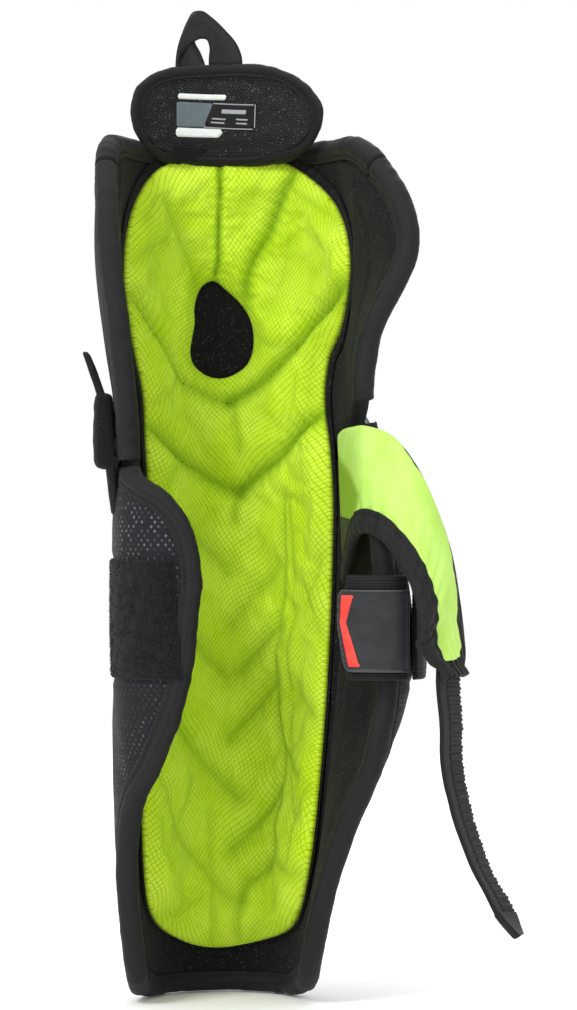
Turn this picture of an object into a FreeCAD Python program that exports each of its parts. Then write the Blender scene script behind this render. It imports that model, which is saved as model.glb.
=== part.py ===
import FreeCAD, Part
import math, os

os.makedirs("parts", exist_ok=True)
V = FreeCAD.Vector

# ======================================================================
# Junior ice-hockey shin guard, right leg.  Millimetres.
# +Z runs up the shin, +Y points to the front of the leg, -Y is the open
# leg side, +X is the inner (right-hand) side when looked at from the leg.
# Origin: centre line of the leg cavity, at the height of the ankle edge.
# ======================================================================

# ---- driving dimensions ----
FOAM_T = 8.0          # chassis foam laminate
SHELL_IN, SHELL_OUT = 4.6, 7.0        # hard shin shell, distance from foam mid-surface
RIDGE_IN, RIDGE_OUT = 7.3, 9.7        # centre ridge on the shin shell, on a 0.3 mm bed of glue
CUP_T = 2.6           # knee cup shell thickness
LINER_GAP = 5.6       # foam mid-surface to liner back
LINER_MID = 12.6      # foam mid-surface to liner face, middle of the pad
LINER_EDGE = 8.6      # the same at the thin rim of the pad
BIND_W = 9.0          # folded width of the edge binding
BIND_T = 4.4          # half thickness of the bound edge
KNEE_Y, KNEE_Z = 2.0, 250.0           # knee tilt axis, parallel to X
KNEE_SPLIT_TOP = 245.0                # upper edge of the shin panel
KNEE_SPLIT_BOT = 248.5                # lower edge of the knee panel
KNEE_TILT = 10.0
FOLD_L_Y, FOLD_R_Y = 2.0, 4.0         # planes where the calf wings hinge
FOLD_GAP = 0.8        # half gap of each fold line
KNEE_TOP = 395.0
FLAP_Z0, FLAP_Z1 = 398.5, 431.5       # thigh flap, moving part
PIN_R, PIN_HEAD_R = 3.0, 6.0
RIVET_R, RIVET_HEAD_R = 2.0, 5.0

# ---- cross-sections of the chassis mid-surface ----
# z, then 17 points (x, y) from the left edge round the front to the right edge
SECTIONS = [
 # z, then L8..L1, C, R1..R8 as (x, y)
 (0,   [(-41,-62),(-41,-46),(-41,-31),(-41.5,-15),(-41.5,0),(-39,16),(-32,29.5),(-19,38.5),(-4,42),(11,38.5),(24,29.5),(30.5,16),(32.5,0),(32.5,-15),(33,-31),(33,-46),(33,-62)]),
 (60,  [(-40,-64),(-44,-49),(-46,-34),(-47,-18),(-46.5,0),(-43.5,18),(-35,33),(-20,43),(-2,46.5),(15.5,43),(30,33),(38,18),(41.5,0),(43,-18),(44.5,-34),(45,-49),(44.5,-65)]),
 (100, [(-14,-54),(-29,-48),(-42,-37),(-48.5,-20),(-48,0),(-44,19),(-34.5,35),(-19.5,46),(-1.5,50),(17,46),(32.5,35),(42,19),(46.5,1),(52,-17),(57,-33),(58.5,-47),(53,-60)]),
 (140, [(-14,-54),(-32,-50),(-44,-39),(-48.5,-20),(-48.5,1),(-44,20.5),(-34,37),(-19,48),(-1,52),(18,48),(34,37),(44,21),(50,3),(60,-14),(70,-29),(74,-44),(68,-58)]),
 (183, [(-14,-54),(-32,-51),(-44.5,-40),(-49,-20),(-48.5,2),(-44,22),(-34,39),(-19,50),(0,54),(19,50),(35,39),(46,22),(53,4),(64,-13),(73.5,-29),(76,-44),(68,-58)]),
 (220, [(-14,-54),(-32,-51),(-44,-40),(-48.5,-20),(-48,2),(-44,23),(-34,40),(-19,51),(0,55),(19,51),(35,40),(47,23),(54,5),(61.5,-11),(66.5,-27),(68,-42),(64,-57)]),
 (250, [(-28,-58),(-38,-47),(-45,-34),(-47,-16),(-47.5,3),(-44,24),(-34,41),(-18,52),(1,56),(20,52),(37,41),(48,24),(54.5,6),(59,-10),(61.5,-26),(62.5,-42),(61,-58)]),
 (275, [(-40,-65),(-44,-50),(-47.5,-33),(-49.5,-15),(-49.5,4),(-46,26),(-36,45),(-19,57),(1,61),(22,57),(39,45),(50,27),(56,8),(58.5,-9),(59,-25),(58.8,-41),(58,-57)]),
 (300, [(-44,-63),(-48,-48),(-51.5,-31),(-53.5,-13),(-53,6),(-50,29),(-39,50),(-20,62),(1,66),(23,62),(42,50),(54,31),(58,10),(60.5,-8),(62,-25),(61.5,-42),(61.5,-58)]),
 (343, [(-48,-63),(-53,-47),(-56.5,-29),(-58,-11),(-56.5,8),(-53,31),(-42,52),(-22,65),(1,69),(24,65),(44,52),(56,34),(61,12),(67.5,-6),(73.5,-23),(79,-40),(84,-57)]),
 (370, [(-47,-63),(-52,-47),(-56,-29),(-57,-12),(-55,7),(-51,28),(-40,48),(-21,60),(1,64),(23,60),(42,48),(53,31),(58,10),(64.5,-7),(71,-24),(77,-41),(82,-57)]),
 (400, [(-46,-63),(-50,-48),(-54,-31),(-54.5,-14),(-52,3),(-47,22),(-36,40),(-19,50.5),(0,54),(20,50.5),(36,41),(47,25),(52,6),(58,-10),(64,-26),(70,-42),(75,-57)]),
 (432, [(-44,-64),(-47,-50),(-50,-34),(-50,-17),(-47.5,0),(-43,17),(-33,33),(-17,42.5),(-1,46),(17,43),(32,34),(43,19),(48,1),(53,-14),(58,-29),(62,-44),(66,-58)]),
]
SUB = 10
def _cr(p0,p1,p2,p3,t0,t1,t2,t3,t):
    """cubic Hermite between p1 and p2 at knots t1..t2, with finite-difference tangents on uneven knots"""
    h=t2-t1
    m1=((p2-p1)/(t2-t1)*(t1-t0)+(p1-p0)/(t1-t0)*(t2-t1))/(t2-t0) if t1>t0 else (p2-p1)/(t2-t1)
    m2=((p3-p2)/(t3-t2)*(t2-t1)+(p2-p1)/(t2-t1)*(t3-t2))/(t3-t1) if t3>t2 else (p2-p1)/(t2-t1)
    u=(t-t1)/h
    return (2*u**3-3*u*u+1)*p1+(u**3-2*u*u+u)*h*m1+(-2*u**3+3*u*u)*p2+(u**3-u*u)*h*m2
def interp(ts, ps, t):
    """smooth 1-D curve through (ts, ps)"""
    n=len(ts)
    if t<=ts[0]:
        return ps[0]+(ps[1]-ps[0])/(ts[1]-ts[0])*(t-ts[0])
    if t>=ts[-1]:
        return ps[-1]+(ps[-1]-ps[-2])/(ts[-1]-ts[-2])*(t-ts[-1])
    i=0
    while ts[i+1]<t: i+=1
    i0=max(i-1,0); i3=min(i+2,n-1)
    return _cr(ps[i0],ps[i],ps[i+1],ps[i3],ts[i0],ts[i],ts[i+1],ts[i3],t)
_cache={}
def section(z):
    k=round(z,4)
    if k in _cache: return _cache[k]
    zs=[a[0] for a in SECTIONS]
    ctrl=[(interp(zs,[a[1][c][0] for a in SECTIONS],z), interp(zs,[a[1][c][1] for a in SECTIONS],z)) for c in range(17)]
    # chord-length parameter along the section
    t=[0.0]
    for a,b in zip(ctrl,ctrl[1:]): t.append(t[-1]+math.hypot(b[0]-a[0],b[1]-a[1]))
    pts=[]
    for i in range(16):
        for j in range(SUB):
            tt=t[i]+(t[i+1]-t[i])*j/SUB
            pts.append((interp(t,[c[0] for c in ctrl],tt),interp(t,[c[1] for c in ctrl],tt)))
    pts.append(ctrl[-1])
    arc=[0.0]
    for a,b in zip(pts,pts[1:]): arc.append(arc[-1]+math.hypot(b[0]-a[0],b[1]-a[1]))
    mid=arc[8*SUB]
    s=[v-mid for v in arc]
    _cache[k]=(s,pts)
    return _cache[k]
def mid(s,z):
    S,P=section(z)
    if s<=S[0]: i=0
    elif s>=S[-1]: i=len(S)-2
    else:
        lo,hi=0,len(S)-1
        while hi-lo>1:
            m=(lo+hi)//2
            if S[m]<=s: lo=m
            else: hi=m
        i=lo
    # local cubic for smoothness
    i0=max(i-1,0); i3=min(i+2,len(S)-1)
    if s<S[0] or s>S[-1]:
        t=(s-S[i])/(S[i+1]-S[i])
        return (P[i][0]+(P[i+1][0]-P[i][0])*t, P[i][1]+(P[i+1][1]-P[i][1])*t, z)
    return (_cr(P[i0][0],P[i][0],P[i+1][0],P[i3][0],S[i0],S[i],S[i+1],S[i3],s), _cr(P[i0][1],P[i][1],P[i+1][1],P[i3][1],S[i0],S[i],S[i+1],S[i3],s), z)
def normal(s,z):
    e=1.5
    a,b=mid(s-e,z),mid(s+e,z); c,d=mid(s,z-e),mid(s,z+e)
    u=[b[k]-a[k] for k in range(3)]; v=[d[k]-c[k] for k in range(3)]
    n=(v[1]*u[2]-v[2]*u[1], v[2]*u[0]-v[0]*u[2], v[0]*u[1]-v[1]*u[0])
    l=math.sqrt(sum(q*q for q in n))
    return tuple(q/l for q in n)
def at(s,z,d=0.0):
    p=mid(s,z)
    if d==0: return p
    n=normal(s,z)
    return tuple(p[k]+n[k]*d for k in range(3))

# ---- outlines of the chassis, arc length s against height z (centre line of the binding) ----
EDGE_L = [(392,-91),(377,-118),(362,-135),(340,-147),(317,-147),(295,-138),(273,-126),(251,-116),(242,-117),(233,-131),(229,-139),(220,-147.5),(207,-152.5),(193,-154),(176,-151.5),(158,-148),(140,-142),(123,-133),(109,-123.5),(95,-112),(81.5,-105.5),(63,-100),(40,-91.5),(21,-81)]
EDGE_R = [(393,80),(382,107),(372,123),(363,134.5),(344,147),(326,147.5),(318,146),(309,143.5),(300,140),(291,136.5),(282,133.5),(273,129),(260,128),(238,133),(220,139),(202,144),(185,147.5),(167,149),(150,147),(132,141.5),(123,136),(114,130),(105,124),(96,117.5),(86,111),(77,106.5),(68,102.5),(59,98.5),(40,89),(31,84),(16,73)]
# corners of the ankle edge, continuing the two outlines to the bottom
FOOT_L = [(21,-81),(14,-75.5),(8,-67.5),(3.6,-58),(1.2,-48),(0.4,-38)]
FOOT_R = [(16,73),(10,67),(5,59),(2,50),(0.6,40),(0.4,30)]

def smooth_path(pts, step):
    """Points at about equal spacing on a smooth curve through pts."""
    t = [0.0]
    for a, b in zip(pts, pts[1:]):
        t.append(t[-1] + math.dist(a, b))
    dim = len(pts[0])
    cols = [[p[k] for p in pts] for k in range(dim)]
    dense = []
    n = max(int(t[-1] / 1.0), 8)
    for i in range(n + 1):
        tt = t[-1] * i / n
        dense.append(tuple(interp(t, c, tt) for c in cols))
    acc = [0.0]
    for a, b in zip(dense, dense[1:]):
        acc.append(acc[-1] + math.dist(a, b))
    m = max(int(round(acc[-1] / step)), 3)
    out = []
    j = 0
    for i in range(m + 1):
        want = acc[-1] * i / m
        while j < len(acc) - 2 and acc[j + 1] < want:
            j += 1
        f = 0 if acc[j + 1] == acc[j] else (want - acc[j]) / (acc[j + 1] - acc[j])
        out.append(tuple(dense[j][k] + (dense[j + 1][k] - dense[j][k]) * f for k in range(dim)))
    return out

def side_normals(path):
    """Unit vectors to the left of a 2-D path."""
    n = len(path)
    out = []
    for i in range(n):
        a, b = path[max(i - 1, 0)], path[min(i + 1, n - 1)]
        dx, dy = b[0] - a[0], b[1] - a[1]
        l = math.hypot(dx, dy)
        out.append((-dy / l, dx / l))
    return out

def inset_table(edge, d):
    """Outline moved towards s = 0 by d, as a (z, s) table with z falling."""
    path = smooth_path([(z, s) for z, s in edge], 2.0)
    nr = side_normals(path)
    sign = 1 if path[len(path) // 2][1] < 0 else -1
    pts = []
    for (z, s), (nz, ns) in zip(path, nr):
        k = 1 if ns * sign > 0 else -1
        pts.append((z + nz * d * k, s + ns * d * k))
    out = [pts[0]]
    for p in pts[1:]:
        if p[0] < out[-1][0] - 0.3:
            out.append(p)
    return out

IN_L = inset_table(EDGE_L, BIND_W / 2)
IN_R = inset_table(EDGE_R, BIND_W / 2)
def table(tab, z):
    """Linear look-up in a table whose z falls."""
    if z >= tab[0][0]: return tab[0][1]
    if z <= tab[-1][0]: return tab[-1][1]
    for (za, sa), (zb, sb) in zip(tab, tab[1:]):
        if zb <= z <= za:
            return sb + (sa - sb) * (z - zb) / (za - zb)
def in_l(z): return table(IN_L, z)
def in_r(z): return table(IN_R, z)
def edge_l(z): return table(EDGE_L, z)
def edge_r(z): return table(EDGE_R, z)

_sy = {}
def s_at_y(z, y, side):
    """Arc length where the chassis crosses the plane y, on one side."""
    k = (round(z, 3), y, side)
    if k not in _sy:
        lo, hi = 20.0 * side, 110.0 * side
        for _ in range(40):
            m = (lo + hi) / 2
            if mid(m, z)[1] > y: lo = m
            else: hi = m
        _sy[k] = (lo + hi) / 2
    return _sy[k]
def fold_l(z): return s_at_y(z, FOLD_L_Y, -1)
def fold_r(z): return s_at_y(z, FOLD_R_Y, 1)

def foot(s, lift=0.0):
    """Height of the ankle edge's inner binding line at arc length s."""
    a = abs(s)
    r = a - 40 if s < 0 else a - 34
    return lift + (0.0 if r <= 0 else 0.0128 * r * r)

# ---- solids from a grid on the chassis surface ----
def loft_grid(front, back):
    """Closed solid between two point grids of the same size."""
    def surf(g):
        b = Part.BSplineSurface()
        b.interpolate([[V(*p) for p in row] for row in g])
        return b
    a, b = surf(front), surf(back)
    fa, fb = a.toShape(), b.toShape()
    def iso(s, which):
        u0, u1, v0, v1 = s.bounds()
        c = s.uIso(u0) if which == 0 else s.uIso(u1) if which == 1 else s.vIso(v0) if which == 2 else s.vIso(v1)
        return c.toShape()
    faces = [fa, fb]
    for k in range(4):
        faces.append(Part.makeRuledSurface(iso(a, k), iso(b, k), 1))
    sh = Part.Shell(faces)
    sh.sewShape()
    so = Part.Solid(sh)
    if so.Volume < 0:
        so.reverse()
    return so

def patch(fs, fz, d_in, d_out, nu, nv):
    """Plate on the chassis surface. u and v run 0..1; fs(u, z), fz(u, v);
    d_in and d_out are distances from the mid-surface, numbers or f(u, v)."""
    g1, g2 = [], []
    for i in range(nu + 1):
        u = i / nu
        r1, r2 = [], []
        for j in range(nv + 1):
            v = j / nv
            z = fz(u, v)
            s = fs(u, z)
            a = d_in(u, v) if callable(d_in) else d_in
            b = d_out(u, v) if callable(d_out) else d_out
            r1.append(at(s, z, a)); r2.append(at(s, z, b))
        g1.append(r1); g2.append(r2)
    return loft_grid(g1, g2)

def lerp(a, b, t): return a + (b - a) * t

def strip(path, width, d_in, d_out, step=7.0, resample=True):
    """Band that follows a path of (z, s) points on the chassis surface."""
    p = smooth_path(path, step) if resample else path
    nr = side_normals(p)
    g1, g2 = [], []
    for (z, s), (nz, ns) in zip(p, nr):
        r1, r2 = [], []
        for k in range(4):
            w = width * (k / 3 - 0.5)
            r1.append(at(s + ns * w, z + nz * w, d_in))
            r2.append(at(s + ns * w, z + nz * w, d_out))
        g1.append(r1); g2.append(r2)
    return loft_grid(g1, g2)

NODES = {}
def keep(name, shape):
    if isinstance(shape, (list, tuple)):
        sols = []
        for s in shape:
            sols += s.Solids
        shape = sols[0] if len(sols) == 1 else Part.makeCompound(sols)
    NODES[name] = shape
    ok = shape.isValid()
    print("%-26s vol %9.0f  solids %d  %s" % (name, shape.Volume, len(shape.Solids), "ok" if ok else "INVALID"))

def cyl(p, d, r, h):
    return Part.makeCylinder(r, h, V(*p), V(*d))

# ======================================================================
# hard shells
# ======================================================================
EAR_Z = [10, 22, 45, 120, 200, 230, 237, 243, 249, 258]
def shell_l(z):
    base = interp(EAR_Z, [-42, -58, -60, -60, -62, -65, -72, -86, -89, -85], z)
    return base if z > 234 else max(base, s_at_y(z, FOLD_L_Y + 2.4, -1))
def shell_r(z):
    base = interp(EAR_Z, [36, 52, 57, 61, 63, 65, 72, 87, 91, 86], z)
    return base if z > 234 else min(base, s_at_y(z, FOLD_R_Y + 2.4, 1))
shin_shell = patch(lambda u, z: lerp(shell_l(z), shell_r(z), u), lambda u, v: lerp(9, 257.5, v), SHELL_IN, SHELL_OUT, 24, 46)
# the ears that carry the knee pivots start above the calf wings
shin_shell = shin_shell.cut(Part.makeBox(60, 90, 60, V(-110, -90 + FOLD_L_Y + 1.6, 187.0)))
shin_shell = shin_shell.cut(Part.makeBox(60, 90, 60, V(47, -90 + FOLD_R_Y + 1.6, 187.0)))

def slot_cutter(s, z, length, width):
    """Round-ended slot along Z through everything at arc length s."""
    p, n = mid(s, z), normal(s, z)
    t = V(-n[1], n[0], 0).normalize()
    N = V(*n)
    base = V(*p) - N * 2
    box = Part.makeBox(width, 24, length, V(-width / 2, -4, -length / 2))
    c1 = Part.makeCylinder(width / 2, 24, V(0, -4, length / 2), V(0, 1, 0))
    c2 = Part.makeCylinder(width / 2, 24, V(0, -4, -length / 2), V(0, 1, 0))
    tool = box.fuse(c1).fuse(c2)
    rot = FreeCAD.Rotation(V(0, 1, 0), N)
    tool.Placement = FreeCAD.Placement(base, FreeCAD.Rotation(V(0, 0, 1), math.degrees(math.atan2(N.y, N.x)) - 90))
    return tool

for sv in (-30, 30):
    for zv in (78, 118, 158):
        shin_shell = shin_shell.cut(slot_cutter(sv, zv, 18, 5))

RIVETS = [(-46, 44), (46, 44), (-48, 206), (48, 206)]
def along(s, z, d0, d1, r):
    """Cylinder along the surface normal, from offset d0 to d1."""
    p, n = at(s, z, d0), normal(s, z)
    return cyl(p, n, r, d1 - d0)
for s_, z_ in RIVETS:
    shin_shell = shin_shell.cut(along(s_, z_, 0, 12, RIVET_R + 0.05))

# ======================================================================
# chassis foam
# ======================================================================
H = FOAM_T / 2
def shin_z(u, v):
    s = lerp(-60, 56, u)
    return lerp(foot(s, 0.4) + BIND_W + 0.1, KNEE_SPLIT_TOP, v)
shin_foam = patch(lambda u, z: lerp(fold_l(z) + FOLD_GAP, fold_r(z) - FOLD_GAP, u), shin_z, -H, H, 20, 26)
for s_, z_ in RIVETS:
    shin_foam = shin_foam.cut(along(s_, z_, -12, 12, RIVET_R + 0.05))
keep("shin_foam", shin_foam)
keep("shin_shell", shin_shell)

ridge = patch(lambda u, z: lerp(-1, 1, u) * interp([18, 40, 120, 200, 226], [5, 13, 15, 13, 6], z), lambda u, v: lerp(18, 226, v), RIDGE_IN, RIDGE_OUT, 8, 24)
keep("shin_ridge_cap", ridge)

# binding along the ankle edge, between the two calf wings
FOOT_MID = [(0.4, -38), (0.4, -20), (0.4, 0), (0.4, 15), (0.4, 30)]
foot_path = [(z + BIND_W / 2, s) for z, s in FOOT_MID]
def foot_z(s): return foot(s, 0.4)
def ankle_grid(d):
    g = []
    for i in range(25):
        u = i / 24
        row = []
        for k in range(4):
            s0 = lerp(-60, 56, u)
            z = foot_z(s0) + BIND_W * k / 3
            s = lerp(fold_l(z) + FOLD_GAP, fold_r(z) - FOLD_GAP, u)
            row.append(at(s, max(z, 0.0), d))
        g.append(row)
    return g
ankle = loft_grid(ankle_grid(-BIND_T), ankle_grid(BIND_T))
ankle = ankle.cut(Part.makeBox(100, 60, 40, V(-110, FOLD_L_Y + 0.7 - 60, -5))).cut(Part.makeBox(100, 60, 40, V(10, FOLD_R_Y + 0.7 - 60, -5)))
ankle = ankle.cut(Part.makeBox(200, 200, 20, V(-100, -100, -19.4)))   # flat underside at z = 0.6
keep("ankle_binding", ankle)

# rivets that hold the shell to the chassis
rv = []
for s_, z_ in RIVETS:
    rv.append(along(s_, z_, SHELL_OUT, SHELL_OUT + 1.6, RIVET_HEAD_R).fuse(along(s_, z_, -H - 1.0, SHELL_OUT + 0.5, RIVET_R)))
keep("shell_rivets", rv)
wash = []
for s_, z_ in RIVETS:
    wash.append(along(s_, z_, -H - 1.35, -H - 0.35, 4.5).cut(along(s_, z_, -H - 3, 3, RIVET_R + 0.05)))
keep("rivet_washers", wash)

# hook strips that hold the removable liner
keep("shin_hook_strips", [patch(lambda u, z, a=a: lerp(a, a + 20, u), lambda u, v: lerp(52, 196, v), -5.2, -4.1, 3, 10) for a in (-36, 16)])

# ======================================================================
# knee section
# ======================================================================
def knee_bot_l(s, z0=KNEE_SPLIT_BOT):
    y = mid(s, 252)[1]
    return z0 if y > KNEE_Y else z0 + (KNEE_Y - y) * 0.19
def knee_bot_r(s, z0=KNEE_SPLIT_BOT):
    y = mid(s, 262)[1]
    return z0 if y > KNEE_Y else z0 + (KNEE_Y - y) * 0.70
def knee_top(s):
    a = abs(s)
    return KNEE_TOP - BIND_W - (0 if a < 60 else 0.012 * (a - 60) ** 2)

keep("knee_foam", patch(lambda u, z: lerp(-74, 72, u), lambda u, v: lerp(KNEE_SPLIT_BOT, 386, v), -H, H, 20, 16))
def kw_l(u, z): return lerp(in_l(z) + 0.35, -74, u)
def kw_r(u, z): return lerp(72, in_r(z) - 0.35, u)
keep("knee_wing_left", patch(kw_l, lambda u, v: lerp(knee_bot_l(lerp(-111, -74, u)), 378 + 7 * u, v), -H, H, 8, 18))
keep("knee_wing_right", patch(kw_r, lambda u, v: lerp(knee_bot_r(lerp(72, 124, u)), 385.5 - 8 * u, v), -H, H, 8, 18))

# bindings of the knee section
def cut_path(edge, z_hi, z_lo):
    return [(z, s) for z, s in smooth_path(edge, 3.0) if z_lo <= z <= z_hi]
bl = cut_path(EDGE_L, 378, 257)
br = cut_path(EDGE_R, 378.5, 281)
keep("knee_binding_left", strip(bl, BIND_W, -BIND_T, BIND_T, 8))
keep("knee_binding_right", strip(br, BIND_W, -BIND_T, BIND_T, 8))
# upper edge binding, behind the thigh flap
top_path = [(379.5, -114.5), (385, -105), (389.5, -92), (391, -80), (391, -60), (391, -30), (391, 0), (391, 30), (391, 58), (390.5, 76), (388.5, 92), (384.5, 102.5), (380, 111)]
keep("knee_binding_top", strip(top_path, BIND_W, -BIND_T, BIND_T, 8))

# knee cup: shell with side ears, on a pad
def cup_in(s, z):
    """Distance of the cup's inside from the mid-surface: its lower rim flares out over the shin shell."""
    f = max(0.0, min(1.0, (76 - abs(s)) / 16.0))
    f = f * f * (3 - 2 * f)
    return 8.0 + f * interp([240, 246, 256, 272, 300, 400], [3.4, 3.2, 2.7, 0.1, 0.0, 0.0], z)
def cup_half(z, side):
    if side < 0:
        return interp([240, 246, 256, 264, 280, 300, 340, 372, 390, 394], [-93, -93, -90, -76, -60, -60, -66, -60, -38, -20], z)
    return interp([240, 246, 256, 264, 280, 300, 340, 372, 390, 394], [95, 95, 92, 76, 58, 60, 68, 60, 38, 20], z)
def cup_d(u, v):
    z = lerp(246, 393, v)
    return cup_in(lerp(cup_half(z, -1), cup_half(z, 1), u), z)
cup = patch(lambda u, z: lerp(cup_half(z, -1), cup_half(z, 1), u), lambda u, v: lerp(246, 393, v),
            lambda u, v: cup_d(u, v), lambda u, v: cup_d(u, v) + CUP_T, 28, 28)
pl, pr = V(-75, KNEE_Y, KNEE_Z), V(90, KNEE_Y, KNEE_Z)
pin_hole_l = cyl((-80, KNEE_Y, KNEE_Z), (1, 0, 0), PIN_R + 0.5, 40)
pin_hole_r = cyl((45, KNEE_Y, KNEE_Z), (1, 0, 0), PIN_R + 0.5, 40)
cup = cup.cut(pin_hole_l).cut(pin_hole_r)
keep("knee_cup_shell", cup)
keep("knee_cup_pad", patch(lambda u, z: lerp(-1, 1, u) * interp([266, 300, 340, 380], [44, 52, 54, 34], z), lambda u, v: lerp(266, 382, v), 4.3, 7.2, 14, 12))
keep("knee_hook_strips", [patch(lambda u, z, a=a: lerp(a, a + 16, u), lambda u, v: lerp(300, 366, v), -5.2, -4.1, 3, 6) for a in (-44, 28)])

# pivot pins: fixed in the ears of the shin shell, the cup turns on them
NODES["shin_shell"] = NODES["shin_shell"].cut(cyl((-80, KNEE_Y, KNEE_Z), (1, 0, 0), PIN_R + 0.02, 40)).cut(cyl((45, KNEE_Y, KNEE_Z), (1, 0, 0), PIN_R + 0.02, 40))
xl = at(s_at_y(250, KNEE_Y, -1), 250, 0)[0]
xr = at(s_at_y(250, KNEE_Y, 1), 250, 0)[0]
print("pivot walls", xl, xr)
pinl = cyl((xl - 11.4, KNEE_Y, KNEE_Z), (1, 0, 0), PIN_R, 7.0).fuse(cyl((xl - 13.2, KNEE_Y, KNEE_Z), (1, 0, 0), PIN_HEAD_R, 1.9))
pinr = cyl((xr + 6.3, KNEE_Y, KNEE_Z), (1, 0, 0), PIN_R, 8.1).fuse(cyl((xr + 14.2, KNEE_Y, KNEE_Z), (1, 0, 0), PIN_HEAD_R, 1.9))
keep("knee_pivot_pins", [pinl, pinr])

# ======================================================================
# thigh flap
# ======================================================================
def flap_y(x, z): return 45.0 - 0.0100 * (x + 3) ** 2 - 0.22 * (z - 400)
def flap_x(z, side):
    """Half outline of the flap, at its edge."""
    if side < 0:
        return interp([396, 404, 412, 420, 426, 430, 431.5], [-43.5, -46, -46.6, -44, -38, -28, -20], z)
    return interp([396, 404, 412, 420, 426, 430, 431.5], [38, 40.6, 41.2, 39, 34, 25, 17], z)
def flap_solid(inset, y_in, y_out, z0, z1, nu=16, nv=8):
    g1, g2 = [], []
    for i in range(nu + 1):
        u = i / nu
        a, b = [], []
        for j in range(nv + 1):
            z = lerp(z0, z1, j / nv)
            zz = min(z + inset, FLAP_Z1)
            x = lerp(flap_x(zz, -1) + inset, flap_x(zz, 1) - inset, u)
            a.append((x, flap_y(x, z) + y_in, z)); b.append((x, flap_y(x, z) + y_out, z))
        g1.append(a); g2.append(b)
    return loft_grid(g1, g2)
keep("thigh_flap", flap_solid(BIND_W * 1.0, -4.2, 4.2, FLAP_Z0, FLAP_Z1 - 8.4))
keep("flap_stiffener", flap_solid(17, 4.3, 5.4, FLAP_Z0 + 3, FLAP_Z1 - 15, 10, 5))
# binding round the flap's outline
def flap_outline():
    pts = []
    for z in (399.2, 404, 410, 416, 421, 425, 428):
        pts.append((flap_x(z, -1) + 4.2, z))
    pts += [(-28, 427.6), (-20, 427.9), (-8, 428), (6, 428), (16, 427.9), (24, 427.2)]
    for z in (424.6, 420.5, 416, 410, 404, 399.2):
        pts.append((flap_x(z, 1) - 4.2, z))
    # remove the doubled corner points
    return pts
fo = [(-40.2, 399.6), (-41.9, 405), (-42.3, 411), (-40.9, 417), (-37.2, 422), (-31, 425.8), (-22, 427.4), (-10, 427.6), (4, 427.6), (15, 427.3), (24.5, 425.6), (31, 422), (35.5, 416.8), (37, 411), (36.6, 405), (35.2, 399.6)]
def flap_band(pts, width, y0, y1):
    p = smooth_path(pts, 6)
    nr = side_normals(p)
    g1, g2 = [], []
    for (x, z), (nx, nz) in zip(p, nr):
        a, b = [], []
        for k in range(4):
            w = width * (k / 3 - 0.5)
            X, Z = x + nx * w, z + nz * w
            a.append((X, flap_y(X, Z) + y0, Z)); b.append((X, flap_y(X, Z) + y1, Z))
        g1.append(a); g2.append(b)
    return loft_grid(g1, g2)
band = flap_band(fo, BIND_W - 0.6, -4.6, 4.6)
cutbox = Part.makeBox(200, 120, 60, V(-100, -20, 338.4))
keep("flap_binding", band.cut(cutbox))
# printed size label, generic
lab1, lab2 = [], []
for i in range(7):
    x = lerp(-26, 10, i / 6)
    lab1.append([(x, flap_y(x, z) - 5.2, z) for z in (401, 405, 409, 413, 416)])
    lab2.append([(x, flap_y(x, z) - 4.3, z) for z in (401, 405, 409, 413, 416)])
keep("size_label", loft_grid(lab1, lab2))
# fixed root of the flap, sewn to the knee section
def root_grid(d):
    return [[at(lerp(-37, 34, i / 12), z, d) for z in (390.8, 392.6, 394.6, 396.6)] for i in range(13)]
keep("flap_root", loft_grid(root_grid(-13.2), root_grid(-4.9)))

# satin pull loop
LY = 43.6
def poly_solid(pts, y0, y1):
    w = Part.makePolygon([V(x, y0, z) for x, z in pts] + [V(pts[0][0], y0, pts[0][1])])
    return Part.Face(w).extrude(V(0, y1 - y0, 0))
outer = [(-25.2, 420), (-25.2, 440), (-24.6, 450), (-21.5, 456), (-17, 458.6), (-12, 457), (-6, 449.5), (0, 441), (4.2, 435), (5, 430), (5, 420)]
inner = [(-10.8, 425), (-10.9, 441), (-13.2, 442.4), (-16.6, 442.4), (-17.3, 439), (-17.2, 425)]
loop = poly_solid(outer, LY, LY + 2.2).cut(poly_solid(inner, LY - 1, LY + 4))
loop.rotate(V(0, LY, 421), V(1, 0, 0), 12)
loop.translate(V(0, 1.4, 0.6))
keep("pull_loop", loop)

# ======================================================================
# calf wings
# ======================================================================
def wing_l(z): return fold_l(z) - FOLD_GAP
def wing_r(z): return fold_r(z) + FOLD_GAP
def top_l(s): return 244.0
def top_r(s):
    y = mid(s, 255)[1]
    return 245.0 if y > KNEE_Y else 245.0 + (KNEE_Y - y) * 0.48
def wing_patch(side, inset, d0, d1, z_lo=None, z_hi=None, nu=10, nv=30):
    """Layer of a calf wing, inset from the binding and from the fold."""
    if side < 0:
        def fs(u, z): return lerp(in_l(min(z, 243)) + inset, wing_l(z) - inset * 0.4, u)
        def fz(u, v):
            s = lerp(-100, -62, u)
            lo = max(foot(lerp(-78, -61, u), 0.4) + BIND_W + inset, z_lo or 0)
            hi = (z_hi or 244.0 - inset)
            return lerp(lo, hi, v)
    else:
        def fs(u, z): return lerp(wing_r(z) + inset * 0.4, in_r(z) - inset, u)
        def fz(u, v):
            lo = max(foot(lerp(57, 70, u), 0.4) + BIND_W + inset, z_lo or 0)
            hi = (z_hi or (top_r(lerp(75, 124, u)) - inset))
            return lerp(lo, hi, v)
    return patch(fs, fz, d0, d1, nu, nv)
keep("calf_wing_left_foam", wing_patch(-1, 0.3, -H, 1.6))
keep("calf_wing_left_plate", wing_patch(-1, 9, 1.8, 2.8, z_lo=40, z_hi=224))
keep("calf_wing_left_cover", wing_patch(-1, 0.6, 3.0, 4.0))
keep("calf_wing_right_foam", wing_patch(1, 0.3, -H, 1.6))
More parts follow.
